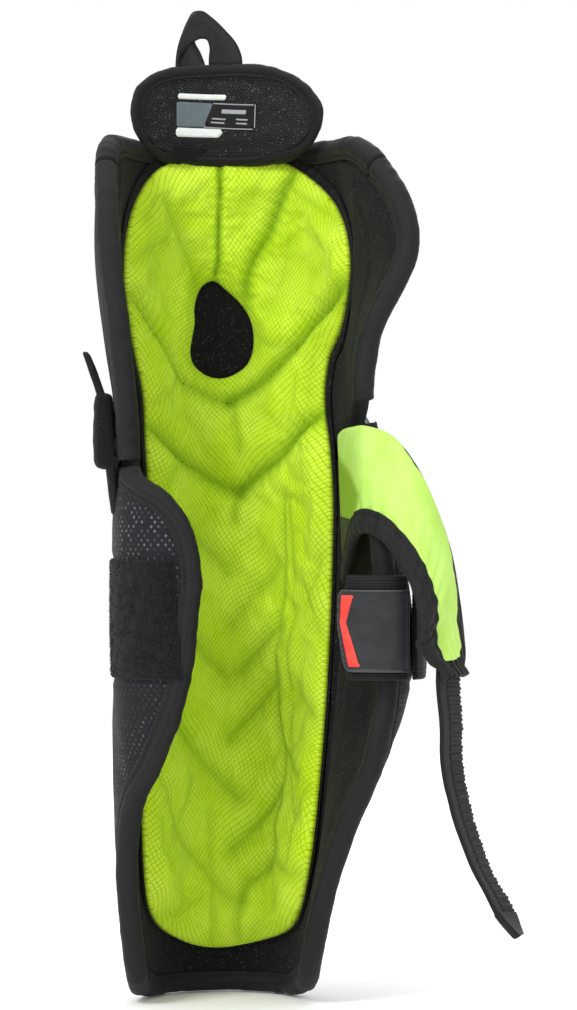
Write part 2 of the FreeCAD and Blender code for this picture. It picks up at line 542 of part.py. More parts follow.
keep("calf_wing_right_plate", wing_patch(1, 9, 1.8, 2.8, z_lo=40, z_hi=224))
keep("calf_wing_right_cover", wing_patch(1, 0.6, 3.0, 4.0))
bpl = [(z, s) for z, s in smooth_path(EDGE_L, 3.0) if z <= 243.0]
footl = [(16.2, -76.6), (11.6, -70), (8.8, -64.6), (7.8, -62.0)]
left_path = [p for p in bpl if p[0] > 24] + footl
keep("calf_wing_left_binding", strip(left_path, BIND_W, -BIND_T, BIND_T, 7).cut(Part.makeBox(100, 60, 60, V(-110, FOLD_L_Y - 0.7, -5))))
bpr = [(z, s) for z, s in smooth_path(EDGE_R, 3.0) if z <= 263.5]
footr = [(17.0, 72.5), (13.0, 67.0), (10.5, 62.0), (9.6, 59.0)]
right_path = [p for p in bpr if p[0] > 22] + footr
keep("calf_wing_right_binding", strip(right_path, BIND_W, -BIND_T, BIND_T, 7).cut(Part.makeBox(100, 60, 60, V(10, FOLD_R_Y - 0.7, -5))))
# brushed loop patch on the outside of the left wing
keep("landing_patch", patch(lambda u, z: lerp(-143.5, -103, u), lambda u, v: lerp(150, 202, v), 4.15, 5.7, 8, 8))

# ======================================================================
# neoprene wrap with its bound edge, and the ribbed strap
# ======================================================================
PXS = 0.455
def wp(a, b, y):
    """Wrap edge points, given as plan width, drop from mid-height, and depth."""
    f = 1 + y / 1700.0
    return (a * PXS * f + 25.7, y, 226.6 - b * PXS * f)
WRAP_A = [wp(*p) for p in [(49.5,-58,-3),(57.5,-64,-19),(65,-70,-36),(77.5,-76,-51),(104,-69,-58),(126,-42,-62),(141,-7,-64),(154,30,-64),(162,65,-63),(168.5,105,-61),(173.5,140,-60),(173,163,-60)]]
WRAP_B = [wp(*p) for p in [(54.5,85,-3),(59.5,50,-19),(66,20,-36),(75.5,7,-53.5),(94.5,12,-65),(113.5,30,-71),(128.5,53,-75.5),(139.5,80,-78),(144.5,105,-79),(143,130,-80),(147.5,150,-81),(155.5,163,-81)]]
def curve_at(pts, t):
    tt = [0.0]
    for a, b in zip(pts, pts[1:]):
        tt.append(tt[-1] + math.dist(a, b))
    x = tt[-1] * t
    return tuple(interp(tt, [p[k] for p in pts], x) for k in range(3))
def wrap_point(t, w):
    # both edges share the same station index, so the ruling lines stay put
    n = len(WRAP_A) - 1
    st = t * n
    idx = list(range(n + 1))
    a = tuple(interp(idx, [p[k] for p in WRAP_A], st) for k in range(3))
    b = tuple(interp(idx, [p[k] for p in WRAP_B], st) for k in range(3))
    return tuple(b[k] + (a[k] - b[k]) * w for k in range(3))
def wrap_normal(t, w):
    e = 0.01
    a, b = wrap_point(max(t - e, 0), w), wrap_point(min(t + e, 1), w)
    c, d = wrap_point(t, w - 0.05), wrap_point(t, w + 0.05)
    u = V(b[0] - a[0], b[1] - a[1], b[2] - a[2]); v = V(d[0] - c[0], d[1] - c[1], d[2] - c[2])
    n = v.cross(u)
    n.normalize()
    return n
def wrap_piece(t0, t1, w0, w1, d0, d1, nt, nw, zmax=None):
    g1, g2 = [], []
    for i in range(nt + 1):
        t = lerp(t0, t1, i / nt)
        a, b = [], []
        for j in range(nw + 1):
            w = lerp(w0, w1, j / nw)
            p, n = V(*wrap_point(t, w)), wrap_normal(t, w)
            a.append(tuple(p + n * d0)); b.append(tuple(p + n * d1))
        g1.append(a); g2.append(b)
    return loft_grid(g1, g2)
T_H = 3 / 11.0
base_w = wrap_piece(0.0, T_H - 0.030, 0.0, 1.0, -1.5, 1.5, 8, 6)
base_w = base_w.cut(Part.makeBox(60, 60, 40, V(35, -22, 246.0)))
# room for the wing's bound edge
wing_room = strip(right_path, BIND_W + 1.4, -BIND_T - 0.6, BIND_T + 0.6, 7)
def biggest(shape):
    return max(shape.Solids, key=lambda q: q.Volume)
keep("wrap_root", biggest(base_w.cut(wing_room)))
keep("neoprene_wrap", wrap_piece(T_H + 0.012, 0.985, 0.20, 1.0, -1.6, 1.6, 20, 5))
keep("wrap_binding", biggest(wrap_piece(T_H + 0.012, 0.985, 0.0, 0.19, -2.0, 2.0, 20, 3).cut(wing_room)))

# ribbed strap hanging from the wrap's tip
ST_N = [(145.5,176),(149.5,235),(153.5,275),(158.5,295),(169.5,335),(186.5,375),(204.5,409),(231.5,436)]
ST_F = [(171.5,176),(173.5,235),(177.5,275),(181.5,295),(191.5,335),(206.5,375),(226.5,409),(233.5,433)]
near = [wp(a, b, -81) for a, b in ST_N]
far = [wp(a, b, -59) for a, b in ST_F]
def strap_pt(t, w):
    idx = list(range(len(near)))
    st = t * (len(near) - 1)
    a = tuple(interp(idx, [p[k] for p in near], st) for k in range(3))
    b = tuple(interp(idx, [p[k] for p in far], st) for k in range(3))
    return tuple(a[k] + (b[k] - a[k]) * w for k in range(3))
def strap_piece(t0, t1, w0, w1, d0, d1, nt):
    g1, g2 = [], []
    for i in range(nt + 1):
        t = lerp(t0, t1, i / nt)
        a, b = [], []
        for j in range(4):
            w = lerp(w0, w1, j / 3)
            p = V(*strap_pt(t, w))
            q1, q2 = V(*strap_pt(min(t + .02, 1), w)), V(*strap_pt(max(t - .02, 0), w))
            r1, r2 = V(*strap_pt(t, w + .1)), V(*strap_pt(t, w - .1))
            n = (q1 - q2).cross(r1 - r2); n.normalize()
            a.append(tuple(p + n * d0)); b.append(tuple(p + n * d1))
        g1.append(a); g2.append(b)
    return loft_grid(g1, g2)
keep("ribbed_strap", strap_piece(0.0, 0.86, 0, 1, -1.3, 1.3, 16))
keep("strap_hook_tip", strap_piece(0.862, 0.985, 0, 1, -1.5, 1.5, 5))

# ======================================================================
# lower calf strap with the moulded tab
# ======================================================================
def ribbon(path, half, z0, z1, shift=0.0, t0=0.0, t1=1.0):
    """Upright band of constant thickness along a plan curve, shifted sideways by shift."""
    p = smooth_path(path, 2.0)
    nr = side_normals(p)
    k0, k1 = int(round(t0 * (len(p) - 1))), int(round(t1 * (len(p) - 1)))
    o = [V(x + nx * (shift + half), y + ny * (shift + half), z0) for (x, y), (nx, ny) in zip(p, nr)][k0:k1 + 1]
    i = [V(x + nx * (shift - half), y + ny * (shift - half), z0) for (x, y), (nx, ny) in zip(p, nr)][k0:k1 + 1]
    def sp(q):
        b = Part.BSplineCurve(); b.interpolate(q); return b.toShape()
    w = Part.Wire([sp(o), Part.makeLine(o[-1], i[-1]), sp(i[::-1]), Part.makeLine(i[0], o[0])])
    return Part.Face(w).extrude(V(0, 0, z1 - z0))
keep("calf_strap_root", ribbon([(84.6, -34), (85.4, -42), (85.2, -50), (83.6, -57.5), (80.6, -62.8)], 1.3, 150, 196))
STRAP = [(77.6, -66.6), (74, -69.2), (68, -70.6), (61, -69.6), (55, -66.6), (49.2, -62.4)]
keep("calf_strap_band", ribbon(STRAP, 1.3, 150, 196, 0, 0.0, 0.93))
keep("strap_tab", ribbon(STRAP, 1.2, 155, 188.5, 2.7, 0.06, 1.0))
keep("tab_chevron", ribbon(STRAP, 0.5, 157.5, 186, 4.5, 0.64, 0.98))
keep("tab_hook_pad", ribbon(STRAP, 0.6, 158, 187, -2.0, 0.35, 0.85))

# ======================================================================
# side strap keeper and its pull tab, outside the left knee wing
# ======================================================================
keep("side_loop_pad", patch(lambda u, z: lerp(-113, -99, u), lambda u, v: lerp(258, 279, v), 4.2, 11.5, 4, 5))
tabp = Part.makePolygon([V(-57.0, 0, 281.0), V(-59.4, 0, 281.0), V(-69.4, 0, 297.2), V(-67.2, 0, 298.2), V(-57.0, 0, 281.0)])
side_tab = Part.Face(tabp).extrude(V(0, 15, 0))
side_tab.translate(V(0, -31, 0))
keep("side_pull_tab", side_tab)

# ======================================================================
# removable quilted liner, in two pads with the knee opening
# ======================================================================
LIN_L = [(387.5,-38),(380,-52),(372,-62),(362,-72),(343,-84),(327,-88),(318,-85),(303,-78),(289,-71),(278,-67),(257,-66),(233,-61),(220,-60),(200,-61),(165,-64),(137,-66),(110,-68),(92,-69),(65,-68),(47,-63),(34,-48),(26,-30),(22,-18)]
LIN_R = [(387.5,30),(380,44),(374,54),(362,70),(352,80),(342,85),(336,86),(326,84),(314,76),(304,68),(295,60),(285,58),(268,60),(257,64),(228,72),(200,73),(184,73),(166,73),(139,73),(113,72),(96,71),(80,70),(64,68),(46,60),(35,50),(25,24)]
def lin_l(z): return table(LIN_L, z)
def lin_r(z): return table(LIN_R, z)
def lin_face(u, v): return -(LINER_EDGE + (LINER_MID - LINER_EDGE) * (1 - abs(2 * u - 1) ** 4))
keep("shin_liner", patch(lambda u, z: lerp(lin_l(z), lin_r(z), u), lambda u, v: lerp(23.5, 249.6, v), lin_face, -LINER_GAP, 16, 30))
kl = patch(lambda u, z: lerp(lin_l(z), lin_r(z), u), lambda u, v: lerp(250.4, 386.0, v), lin_face, -LINER_GAP, 16, 20)
# knee opening: (x, z) outline, cut straight through along Y
HOLE = [(-9.1, 332.1), (-2, 327.8), (4.0, 321.4), (7.4, 313.6), (8.2, 305), (6.6, 295.4), (1.2, 288.4), (-6, 286), (-13.3, 288.4), (-18.4, 295), (-18.4, 305), (-17, 317), (-15.2, 326.5)]
hp = smooth_path(HOLE + [HOLE[0]], 4)
hw = Part.BSplineCurve(); hw.interpolate([V(x, -40, z) for x, z in hp[:-1]], PeriodicFlag=True)
hole = Part.Face(Part.Wire(hw.toShape())).extrude(V(0, 140, 0))
kl = kl.cut(hole)
keep("knee_liner", kl)

for name, shape in NODES.items():
    shape.exportStep("parts/%s.step" % name)
print(len(NODES), "nodes")
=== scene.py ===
import bpy, bmesh, math
import numpy as np
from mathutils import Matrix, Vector


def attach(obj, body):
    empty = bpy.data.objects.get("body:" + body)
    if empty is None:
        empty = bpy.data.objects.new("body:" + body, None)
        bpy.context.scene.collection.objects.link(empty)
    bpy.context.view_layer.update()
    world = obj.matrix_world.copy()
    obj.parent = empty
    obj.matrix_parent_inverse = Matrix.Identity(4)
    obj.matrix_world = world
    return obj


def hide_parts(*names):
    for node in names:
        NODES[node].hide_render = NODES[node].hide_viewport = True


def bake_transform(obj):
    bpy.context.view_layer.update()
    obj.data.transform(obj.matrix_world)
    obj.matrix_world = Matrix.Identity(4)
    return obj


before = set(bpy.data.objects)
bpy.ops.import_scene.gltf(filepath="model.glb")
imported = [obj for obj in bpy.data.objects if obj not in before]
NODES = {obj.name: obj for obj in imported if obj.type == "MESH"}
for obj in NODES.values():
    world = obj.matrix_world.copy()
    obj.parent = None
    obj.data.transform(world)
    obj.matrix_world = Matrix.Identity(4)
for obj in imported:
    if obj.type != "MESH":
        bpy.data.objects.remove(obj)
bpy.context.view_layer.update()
SC = bpy.context.scene
SC.view_settings.view_transform = "Standard"
RNG = np.random.default_rng(7)

# ======================================================================
# camera: level, on the leg side, at the height of the middle of the guard
# ======================================================================
cam_data = bpy.data.cameras.new("camera")
cam_data.sensor_width = 36.0
cam_data.lens = 1700.0 / 0.455 * 36.0 / 1010.0
cam_data.clip_end = 50.0
cam = bpy.data.objects.new("camera", cam_data)
SC.collection.objects.link(cam)
cam.location = (0.0257, -1.7, 0.2266)
cam.rotation_euler = (math.radians(90), 0, 0)
SC.camera = cam

# ======================================================================
# master surface of the chassis: s is arc length from the front centre line,
# z the height, d the distance outwards from the middle of the foam (mm)
# ======================================================================
SECTIONS = [
 # z, then L8..L1, C, R1..R8 as (x, y)
 (0,   [(-41,-62),(-41,-46),(-41,-31),(-41.5,-15),(-41.5,0),(-39,16),(-32,29.5),(-19,38.5),(-4,42),(11,38.5),(24,29.5),(30.5,16),(32.5,0),(32.5,-15),(33,-31),(33,-46),(33,-62)]),
 (60,  [(-40,-64),(-44,-49),(-46,-34),(-47,-18),(-46.5,0),(-43.5,18),(-35,33),(-20,43),(-2,46.5),(15.5,43),(30,33),(38,18),(41.5,0),(43,-18),(44.5,-34),(45,-49),(44.5,-65)]),
 (100, [(-14,-54),(-29,-48),(-42,-37),(-48.5,-20),(-48,0),(-44,19),(-34.5,35),(-19.5,46),(-1.5,50),(17,46),(32.5,35),(42,19),(46.5,1),(52,-17),(57,-33),(58.5,-47),(53,-60)]),
 (140, [(-14,-54),(-32,-50),(-44,-39),(-48.5,-20),(-48.5,1),(-44,20.5),(-34,37),(-19,48),(-1,52),(18,48),(34,37),(44,21),(50,3),(60,-14),(70,-29),(74,-44),(68,-58)]),
 (183, [(-14,-54),(-32,-51),(-44.5,-40),(-49,-20),(-48.5,2),(-44,22),(-34,39),(-19,50),(0,54),(19,50),(35,39),(46,22),(53,4),(64,-13),(73.5,-29),(76,-44),(68,-58)]),
 (220, [(-14,-54),(-32,-51),(-44,-40),(-48.5,-20),(-48,2),(-44,23),(-34,40),(-19,51),(0,55),(19,51),(35,40),(47,23),(54,5),(61.5,-11),(66.5,-27),(68,-42),(64,-57)]),
 (250, [(-28,-58),(-38,-47),(-45,-34),(-47,-16),(-47.5,3),(-44,24),(-34,41),(-18,52),(1,56),(20,52),(37,41),(48,24),(54.5,6),(59,-10),(61.5,-26),(62.5,-42),(61,-58)]),
 (275, [(-40,-65),(-44,-50),(-47.5,-33),(-49.5,-15),(-49.5,4),(-46,26),(-36,45),(-19,57),(1,61),(22,57),(39,45),(50,27),(56,8),(58.5,-9),(59,-25),(58.8,-41),(58,-57)]),
 (300, [(-44,-63),(-48,-48),(-51.5,-31),(-53.5,-13),(-53,6),(-50,29),(-39,50),(-20,62),(1,66),(23,62),(42,50),(54,31),(58,10),(60.5,-8),(62,-25),(61.5,-42),(61.5,-58)]),
 (343, [(-48,-63),(-53,-47),(-56.5,-29),(-58,-11),(-56.5,8),(-53,31),(-42,52),(-22,65),(1,69),(24,65),(44,52),(56,34),(61,12),(67.5,-6),(73.5,-23),(79,-40),(84,-57)]),
 (370, [(-47,-63),(-52,-47),(-56,-29),(-57,-12),(-55,7),(-51,28),(-40,48),(-21,60),(1,64),(23,60),(42,48),(53,31),(58,10),(64.5,-7),(71,-24),(77,-41),(82,-57)]),
 (400, [(-46,-63),(-50,-48),(-54,-31),(-54.5,-14),(-52,3),(-47,22),(-36,40),(-19,50.5),(0,54),(20,50.5),(36,41),(47,25),(52,6),(58,-10),(64,-26),(70,-42),(75,-57)]),
 (432, [(-44,-64),(-47,-50),(-50,-34),(-50,-17),(-47.5,0),(-43,17),(-33,33),(-17,42.5),(-1,46),(17,43),(32,34),(43,19),(48,1),(53,-14),(58,-29),(62,-44),(66,-58)]),
]
SUB = 10
def _cr(p0,p1,p2,p3,t0,t1,t2,t3,t):
    """cubic Hermite between p1 and p2 at knots t1..t2, with finite-difference tangents on uneven knots"""
    h=t2-t1
    m1=((p2-p1)/(t2-t1)*(t1-t0)+(p1-p0)/(t1-t0)*(t2-t1))/(t2-t0) if t1>t0 else (p2-p1)/(t2-t1)
    m2=((p3-p2)/(t3-t2)*(t2-t1)+(p2-p1)/(t2-t1)*(t3-t2))/(t3-t1) if t3>t2 else (p2-p1)/(t2-t1)
    u=(t-t1)/h
    return (2*u**3-3*u*u+1)*p1+(u**3-2*u*u+u)*h*m1+(-2*u**3+3*u*u)*p2+(u**3-u*u)*h*m2
def interp(ts, ps, t):
    """smooth 1-D curve through (ts, ps)"""
    n=len(ts)
    if t<=ts[0]:
        return ps[0]+(ps[1]-ps[0])/(ts[1]-ts[0])*(t-ts[0])
    if t>=ts[-1]:
        return ps[-1]+(ps[-1]-ps[-2])/(ts[-1]-ts[-2])*(t-ts[-1])
    i=0
    while ts[i+1]<t: i+=1
    i0=max(i-1,0); i3=min(i+2,n-1)
    return _cr(ps[i0],ps[i],ps[i+1],ps[i3],ts[i0],ts[i],ts[i+1],ts[i3],t)
_cache={}
def section(z):
    k=round(z,4)
    if k in _cache: return _cache[k]
    zs=[a[0] for a in SECTIONS]
    ctrl=[(interp(zs,[a[1][c][0] for a in SECTIONS],z), interp(zs,[a[1][c][1] for a in SECTIONS],z)) for c in range(17)]
    # chord-length parameter along the section
    t=[0.0]
    for a,b in zip(ctrl,ctrl[1:]): t.append(t[-1]+math.hypot(b[0]-a[0],b[1]-a[1]))
    pts=[]
    for i in range(16):
        for j in range(SUB):
            tt=t[i]+(t[i+1]-t[i])*j/SUB
            pts.append((interp(t,[c[0] for c in ctrl],tt),interp(t,[c[1] for c in ctrl],tt)))
    pts.append(ctrl[-1])
    arc=[0.0]
    for a,b in zip(pts,pts[1:]): arc.append(arc[-1]+math.hypot(b[0]-a[0],b[1]-a[1]))
    mid=arc[8*SUB]
    s=[v-mid for v in arc]
    _cache[k]=(s,pts)
    return _cache[k]
def mid(s,z):
    S,P=section(z)
    if s<=S[0]: i=0
    elif s>=S[-1]: i=len(S)-2
    else:
        lo,hi=0,len(S)-1
        while hi-lo>1:
            m=(lo+hi)//2
            if S[m]<=s: lo=m
            else: hi=m
        i=lo
    # local cubic for smoothness
    i0=max(i-1,0); i3=min(i+2,len(S)-1)
    if s<S[0] or s>S[-1]:
        t=(s-S[i])/(S[i+1]-S[i])
        return (P[i][0]+(P[i+1][0]-P[i][0])*t, P[i][1]+(P[i+1][1]-P[i][1])*t, z)
    return (_cr(P[i0][0],P[i][0],P[i+1][0],P[i3][0],S[i0],S[i],S[i+1],S[i3],s), _cr(P[i0][1],P[i][1],P[i+1][1],P[i3][1],S[i0],S[i],S[i+1],S[i3],s), z)

GS = np.arange(-176.0, 176.01, 1.0)
GZ = np.arange(-12.0, 448.01, 2.0)
TAB = np.zeros((len(GZ), len(GS), 3))
for _i, _z in enumerate(GZ):
    S_, P_ = section(float(_z))
    S_ = np.array(S_); P_ = np.array(P_)
    x = np.interp(GS, S_, P_[:, 0]); y = np.interp(GS, S_, P_[:, 1])
    # carry on straight past the two ends
    for end, sl in ((0, GS < S_[0]), (-1, GS > S_[-1])):
        nb = 3 if end == 0 else -4
        dS = S_[end] - S_[nb]
        x[sl] = P_[end, 0] + (P_[end, 0] - P_[nb, 0]) / dS * (GS[sl] - S_[end])
        y[sl] = P_[end, 1] + (P_[end, 1] - P_[nb, 1]) / dS * (GS[sl] - S_[end])
    TAB[_i, :, 0] = x; TAB[_i, :, 1] = y; TAB[_i, :, 2] = _z
def _smooth_s(T):
    k = np.array([1, 4, 6, 4, 1.0]) / 16
    out = T.copy()
    acc = sum(k[m] * T[:, m:T.shape[1] - 4 + m] for m in range(5))
    out[:, 2:-2] = acc
    return out
TAB = _smooth_s(TAB)
_du = np.gradient(TAB, axis=1); _dv = np.gradient(TAB, axis=0)
NRM = np.cross(_dv, _du)
NRM /= np.linalg.norm(NRM, axis=2, keepdims=True)

def _look(T, s, z):
    s = np.asarray(s, float); z = np.asarray(z, float)
    fs = np.clip((s - GS[0]) / 1.0, 0, len(GS) - 1.001); fz = np.clip((z - GZ[0]) / 2.0, 0, len(GZ) - 1.001)
    i = fz.astype(int); j = fs.astype(int)
    a = (fs - j)[..., None]; b = (fz - i)[..., None]
    return (T[i, j] * (1 - a) + T[i, j + 1] * a) * (1 - b) + (T[i + 1, j] * (1 - a) + T[i + 1, j + 1] * a) * b
def surf(s, z, d=0.0):
    """Points of the chassis in mm; s, z and d are arrays or numbers."""
    s, z, d = np.broadcast_arrays(np.asarray(s, float), np.asarray(z, float), np.asarray(d, float))
    p = _look(TAB, s, z); n = _look(NRM, s, z)
    n = n / np.linalg.norm(n, axis=-1, keepdims=True)
    return p + n * d[..., None]

def sstep(a, b, x):
    t = np.clip((np.asarray(x, float) - a) / (b - a), 0, 1)
    return t * t * (3 - 2 * t)
def tabl(tab, z):
    """Linear look-up in a (z, value) table."""
    t = sorted(tab)
    return np.interp(z, [a for a, b in t], [b for a, b in t])
def wob(x, seed, lam):
    """Smooth wobble of about -1..1 along x, with wavelengths from lam up."""
    r = np.random.default_rng(seed)
    out = 0
    for k in range(5):
        out = out + math.sin(1 + k) ** 0 * np.sin(np.asarray(x) / (lam * (1 + 0.7 * k)) * 6.283 + r.uniform(0, 6.28)) * 0.4
    return out
def wob2(x, y, seed, lam, n=9):
    """Smooth two-way wobble of about -1..1."""
    r = np.random.default_rng(seed)
    out = 0
    for k in range(n):
        a = r.uniform(0, 6.283); l = lam * r.uniform(0.8, 2.4)
        out = out + np.sin((np.cos(a) * x + np.sin(a) * y) / l * 6.283 + r.uniform(0, 6.283))
    return out / math.sqrt(n) * 0.9

def resample(pts, step, closed=False):
    """Points at even spacing on a smooth curve through pts."""
    p = np.array(pts, float)
    if closed:
        p = np.vstack([p[-3:], p, p[:4]])
    t = np.concatenate([[0], np.cumsum(np.linalg.norm(np.diff(p, axis=0), axis=1))])
    cols = [list(p[:, k]) for k in range(p.shape[1])]
    tt = list(t)
    lo, hi = (t[3], t[3 + len(pts)]) if closed else (t[0], t[-1])
    n = max(int((hi - lo) / 0.8), 12)
    q = np.array([[interp(tt, c, lo + (hi - lo) * i / n) for c in cols] for i in range(n + 1)])
    a = np.concatenate([[0], np.cumsum(np.linalg.norm(np.diff(q, axis=0), axis=1))])
    m = max(int(round(a[-1] / step)), 4)
    w = np.linspace(0, a[-1], m + 1)
    if closed:
        w = w[:-1]
    return np.stack([np.interp(w, a, q[:, k]) for k in range(q.shape[1])], 1)

def seg_dist(P, line):
    """Distance of points P (n, 2) to a polyline, and the length along it of the nearest point."""
    best = np.full(len(P), 1e9); where = np.zeros(len(P)); acc = 0.0
    for a, b in zip(line[:-1], line[1:]):
        a = np.array(a, float); b = np.array(b, float)
        ab = b - a; l2 = max(ab @ ab, 1e-9); l = math.sqrt(l2)
        t = np.clip(((P - a) @ ab) / l2, 0, 1)
        d = np.hypot(*(P - (a + t[:, None] * ab)).T)
        m = d < best
        best[m] = d[m]; where[m] = acc + t[m] * l
        acc += l
    return best, where

def inside(P, poly):
    """Which points lie in a closed polygon."""
    x, y = P[:, 0], P[:, 1]
    c = np.zeros(len(P), bool)
    q = np.array(poly, float)
    for (x1, y1), (x2, y2) in zip(q, np.roll(q, -1, 0)):
        if y1 == y2:
            continue
        m = ((y1 > y) != (y2 > y)) & (x < (x2 - x1) * (y - y1) / (y2 - y1) + x1)
        c ^= m
    return c

# ======================================================================
# meshes
# ======================================================================
def mesh_obj(name, verts_mm, faces, mats, fmat=None, st=None, smooth=True, extra=None):
    me = bpy.data.meshes.new(name)
    v = np.asarray(verts_mm, float) * 0.001
    me.from_pydata(v.tolist(), [], [list(map(int, f)) for f in faces])
    me.update()
    for m in (mats if isinstance(mats, (list, tuple)) else [mats]):
        me.materials.append(m)
    if fmat is not None:
        me.polygons.foreach_set("material_index", np.asarray(fmat, np.int32))
    if smooth:
        me.polygons.foreach_set("use_smooth", np.ones(len(me.polygons), bool))
    if st is not None:
        a = me.attributes.new("st", "FLOAT_VECTOR", "POINT")
        st = np.asarray(st, float)
        if st.shape[1] == 2:
            st = np.hstack([st, np.zeros((len(st), 1))])
        a.data.foreach_set("vector", st.astype(np.float32).ravel())
    for k, arr in (extra or {}).items():
        a = me.attributes.new(k, "FLOAT", "POINT")
        a.data.foreach_set("value", np.asarray(arr, np.float32))
    ob = bpy.data.objects.new(name, me)
    SC.collection.objects.link(ob)
    return ob

def weld_flip(ob):
    """Faces turned outwards."""
    bm = bmesh.new(); bm.from_mesh(ob.data)
    bmesh.ops.recalc_face_normals(bm, faces=bm.faces)
    bm.to_mesh(ob.data); bm.free()
    ob.data.update()
    return ob

def grid_faces(nu, nv, off=0, flip=False, wrap=False):
    """Quads of a grid whose index is i * nv + j."""
    I, J = np.meshgrid(np.arange(nu - 1), np.arange(nv if wrap else nv - 1), indexing="ij")
    J2 = (J + 1) % nv
    a = I * nv + J; b = (I + 1) * nv + J; c = (I + 1) * nv + J2; d = I * nv + J2
    q = np.stack([a, b, c, d], -1).reshape(-1, 4)
    if flip:
        q = q[:, ::-1]
    return q + off

def slab(name, A, B, stA, mats, stB=None, fm=(0, 1, 0), extraA=None):
    """Closed slab between two grids A and B of shape (nu, nv, 3). Materials fm are for A, B and the rim."""
    nu, nv = A.shape[:2]
    n = nu * nv
    V = np.vstack([A.reshape(-1, 3), B.reshape(-1, 3)])
    st = np.vstack([stA.reshape(n, -1), (stB if stB is not None else stA).reshape(n, -1)])
    F = [grid_faces(nu, nv), grid_faces(nu, nv, n, True)]
    ring = [i * nv for i in range(nu)] + [(nu - 1) * nv + j for j in range(1, nv)] + [i * nv + nv - 1 for i in range(nu - 2, -1, -1)] + [j for j in range(nv - 2, 0, -1)]
    r = np.array(ring); r2 = np.roll(r, -1)
    F.append(np.stack([r2, r, r + n, r2 + n], 1))
    fm_all = np.concatenate([np.full(len(f), fm[k]) for k, f in enumerate(F)])
    ob = mesh_obj(name, V, np.vstack(F), mats, fm_all, st)
    return weld_flip(ob)

def clip_grid(poly, step, holes=(), relax=2):
    """Quads of a square grid inside a polygon, with their rim drawn on to its outline. Returns points (n, 2), quads, rim edges."""
    poly = np.array(poly, float)
    lo, hi = poly.min(0) - step, poly.max(0) + step
    gx = np.arange(lo[0], hi[0] + step, step); gy = np.arange(lo[1], hi[1] + step, step)
    X, Y = np.meshgrid(gx, gy, indexing="ij")
    P = np.stack([X.ravel(), Y.ravel()], 1)
    ins = inside(P, poly)
    for h in holes:
        ins &= ~inside(P, h)
    nv = len(gy)
    Q = grid_faces(len(gx), nv)
    Q = Q[ins[Q].all(1)]
    # drop cells that hang on by one corner
    for _ in range(3):
        cnt = np.bincount(Q.ravel(), minlength=len(P))
        Q = Q[(cnt[Q] >= 2).sum(1) >= 3]
    used = np.unique(Q)
    remap = -np.ones(len(P), int); remap[used] = np.arange(len(used))
    P = P[used]; Q = remap[Q]
    E = np.vstack([Q[:, [0, 1]], Q[:, [1, 2]], Q[:, [2, 3]], Q[:, [3, 0]]])
    key = np.sort(E, 1)
    _, idx, cnt = np.unique(key, axis=0, return_index=True, return_counts=True)
    rim = E[idx[cnt == 1]]
    rv = np.unique(rim)
    outl = [poly] + [np.array(h, float) for h in holes]
    def snap(pts):
        best = np.full(len(pts), 1e9); res = pts.copy()
        for o in outl:
            for a, b in zip(o, np.roll(o, -1, 0)):
                ab = b - a; l2 = max(ab @ ab, 1e-12)
                t = np.clip(((pts - a) @ ab) / l2, 0, 1)
                c = a + t[:, None] * ab
                d = np.hypot(*(pts - c).T)
                m = d < best
                best[m] = d[m]; res[m] = c[m]
        return res
    P[rv] = snap(P[rv])
    # even out the spacing near the rim
    nb = [[] for _ in range(len(P))]
    U = np.unique(np.sort(E, 1), axis=0)
    cnt = np.zeros(len(P)); 
    isr = np.zeros(len(P), bool); isr[rv] = True
    near = isr.copy()
    near[U[isr[U[:, 0]], 1]] = True; near[U[isr[U[:, 1]], 0]] = True
    for _ in range(relax):
        acc = np.zeros_like(P); cnt = np.zeros(len(P))
        np.add.at(acc, U[:, 0], P[U[:, 1]]); np.add.at(acc, U[:, 1], P[U[:, 0]])
        np.add.at(cnt, U[:, 0], 1); np.add.at(cnt, U[:, 1], 1)
        m = near & ~isr
        P[m] = P[m] * 0.4 + acc[m] / cnt[m, None] * 0.6
        # rim points slide along the outline
        ra = np.zeros_like(P); rc = np.zeros(len(P))
        np.add.at(ra, rim[:, 0], P[rim[:, 1]]); np.add.at(ra, rim[:, 1], P[rim[:, 0]])
        np.add.at(rc, rim[:, 0], 1); np.add.at(rc, rim[:, 1], 1)
        ok = isr & (rc == 2)
        P[ok] = P[ok] * 0.5 + ra[ok] / 2 * 0.5
        P[rv] = snap(P[rv])
    return P, Q, rim

def rim_dist(P, poly, holes=()):
    d, _ = seg_dist(P, np.vstack([poly, poly[:1]]))
    for h in holes:
        d = np.minimum(d, seg_dist(P, np.vstack([h, h[:1]]))[0])
    return d

def clip_slab(name, P, Q, rim, top, bot, mats, st=None, fm=(0, 1, 0), extra=None, stb=None):
    """Closed slab over a clipped grid: top and bot are (n, 3) points in mm."""
    n = len(P)
    V = np.vstack([top, bot])
    F = np.vstack([Q, Q[:, ::-1] + n, np.stack([rim[:, 1], rim[:, 0], rim[:, 0] + n, rim[:, 1] + n], 1)])
    fmat = np.concatenate([np.full(len(Q), fm[0]), np.full(len(Q), fm[1]), np.full(len(rim), fm[2])])
    s = P if st is None else st
    ob = mesh_obj(name, V, F, mats, fmat, np.vstack([s, s if stb is None else stb]), extra=None if extra is None else {k: np.concatenate([a, a]) for k, a in extra.items()})
    return weld_flip(ob)

def sweep(name, C, prof, mats, st_scale=1.0, point=None, cap=True):
    """Tube of a closed profile: point(k, w, d) gives the place of profile point (w, d) at station k. C is the number of stations."""
    m = len(prof)
    V = np.zeros((C, m, 3))
    for j, (w, d) in enumerate(prof):
        V[:, j] = point(w, d, j)
    F = grid_faces(C, m, wrap=True)
    faces = F.tolist()
    if cap:
        faces.append(list(range(m))); faces.append([(C - 1) * m + j for j in range(m - 1, -1, -1)])
    return V.reshape(-1, 3), faces

